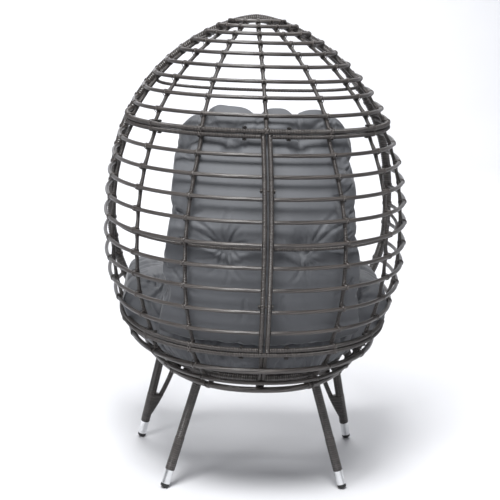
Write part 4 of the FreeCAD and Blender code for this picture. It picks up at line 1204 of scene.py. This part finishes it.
make_back_pad()
make_seat_pad()


def object_wound(name, axis, pitch):
    """Winding round straight bars along one axis, from the object's own coordinates."""
    made, tree, shader = new_material(name)
    place = tree.nodes.new("ShaderNodeTexCoord").outputs["Object"]
    count = split(tree, place)[axis] / pitch
    crown = ((count.fract() * 2 - 1).abs() ** 4) * -1 + 1
    patches = noise(tree, place, 14.0)
    strand = random_of(tree, count.floor())
    tone = (strand * 0.4 + patches * 0.6).between(0.1, 0.9)
    # painted shade: where crown is low, in the grooves between strands, the colour falls to RESIN_BASE
    tree.links.new(blend_colours(tree, tone * crown, RESIN_BASE, RESIN_PALE), shader.inputs["Base Color"])
    put(tree, shader.inputs["Roughness"], patches * 0.2 + 0.32)
    bump(tree, shader, crown, 0.0009)
    return made


dress(["base_cross_bars", "seat_slats"], object_wound("bar_wound_resin", 0, 0.0066))


# Surroundings

def make_stage():
    """Pale floor that sweeps up into a backdrop, beyond the chair as the camera sees it."""
    made, tree, shader = new_material("pale_backdrop")
    place = tree.nodes.new("ShaderNodeTexCoord").outputs["Object"]
    soft = noise(tree, place, 1.3, 1.0)
    tree.links.new(blend_colours(tree, soft, (0.70, 0.705, 0.73), (0.735, 0.74, 0.76)),
                   shader.inputs["Base Color"])
    shader.inputs["Roughness"].default_value = 0.9
    bend, far, high, near = 1.6, -6.4, 6.5, 8.0
    angle = np.linspace(0, math.pi / 2, 24)
    profile = [(near, 0.0)]
    profile += [(far - bend * math.sin(a), bend * (1 - math.cos(a))) for a in angle]
    profile += [(far - bend, high)]
    vertices = [(x, y, z) for y, z in profile for x in (-9.0, 9.0)]
    faces = [(2 * k, 2 * k + 1, 2 * k + 3, 2 * k + 2) for k in range(len(profile) - 1)]
    floor = new_object("pale_floor", vertices, faces)
    floor.data.materials.append(made)


def light(name, place, aim, size, power, colour=(1, 1, 1)):
    data = bpy.data.lights.new(name, "AREA")
    data.shape, data.size, data.energy, data.color = "DISK", size, power, colour
    made = bpy.data.objects.new(name, data)
    bpy.context.scene.collection.objects.link(made)
    made.location = place
    made.rotation_euler = (Vector(aim) - Vector(place)).to_track_quat("-Z", "Y").to_euler()


def make_lights():
    world = bpy.data.worlds.new("soft_room")
    bpy.context.scene.world = world
    world.use_nodes = True
    world.node_tree.nodes["Background"].inputs["Color"].default_value = (0.93, 0.95, 1.0, 1)
    world.node_tree.nodes["Background"].inputs["Strength"].default_value = 0.27
    light("key_above", (0.7, 2.3, 5.0), (0, 0.2, 0.8), 2.2, 350)
    light("left_of_camera", (2.6, 3.0, 2.5), (0, 0.1, 0.7), 0.9, 30)
    light("right_of_camera", (-2.8, 2.2, 2.2), (0, 0, 0.7), 1.4, 12)
    light("backdrop_wash", (0, -4.6, 5.2), (0, -7.6, 1.2), 4.0, 235)
    light("floor_wash", (0, -3.6, 5.6), (0, -4.2, 0), 4.0, 150)


CAMERA_PLACE = (0.32319, 4.0883, 1.58379)
CAMERA_YAW, CAMERA_PITCH, CAMERA_ROLL = -0.07344, 0.21053, 0.03284
FOCAL_PIXELS, PHOTO_PIXELS, SENSOR = 1359.97, 500.0, 36.0


def make_camera():
    """The camera looks along -Y, then turns by yaw, tips down by pitch and leans by roll."""
    c, s = math.cos(CAMERA_YAW), math.sin(CAMERA_YAW)
    level = lambda v: Vector((c * v[0] - s * v[1], s * v[0] + c * v[1], v[2]))
    ahead, right, up = level((0, -1, 0)), level((-1, 0, 0)), Vector((0, 0, 1))
    look = ahead * math.cos(CAMERA_PITCH) - up * math.sin(CAMERA_PITCH)
    above = ahead * math.sin(CAMERA_PITCH) + up * math.cos(CAMERA_PITCH)
    across = right * math.cos(CAMERA_ROLL) + above * math.sin(CAMERA_ROLL)
    above = above * math.cos(CAMERA_ROLL) - right * math.sin(CAMERA_ROLL)
    data = bpy.data.cameras.new("camera")
    data.sensor_width = SENSOR
    data.lens = FOCAL_PIXELS / PHOTO_PIXELS * SENSOR
    data.clip_end = 50
    made = bpy.data.objects.new("camera", data)
    bpy.context.scene.collection.objects.link(made)
    turn = Matrix((across, above, -look)).transposed().to_4x4()
    made.matrix_world = Matrix.Translation(CAMERA_PLACE) @ turn
    bpy.context.scene.camera = made


make_stage()
make_lights()
make_camera()
bpy.context.scene.view_settings.view_transform = "Standard"
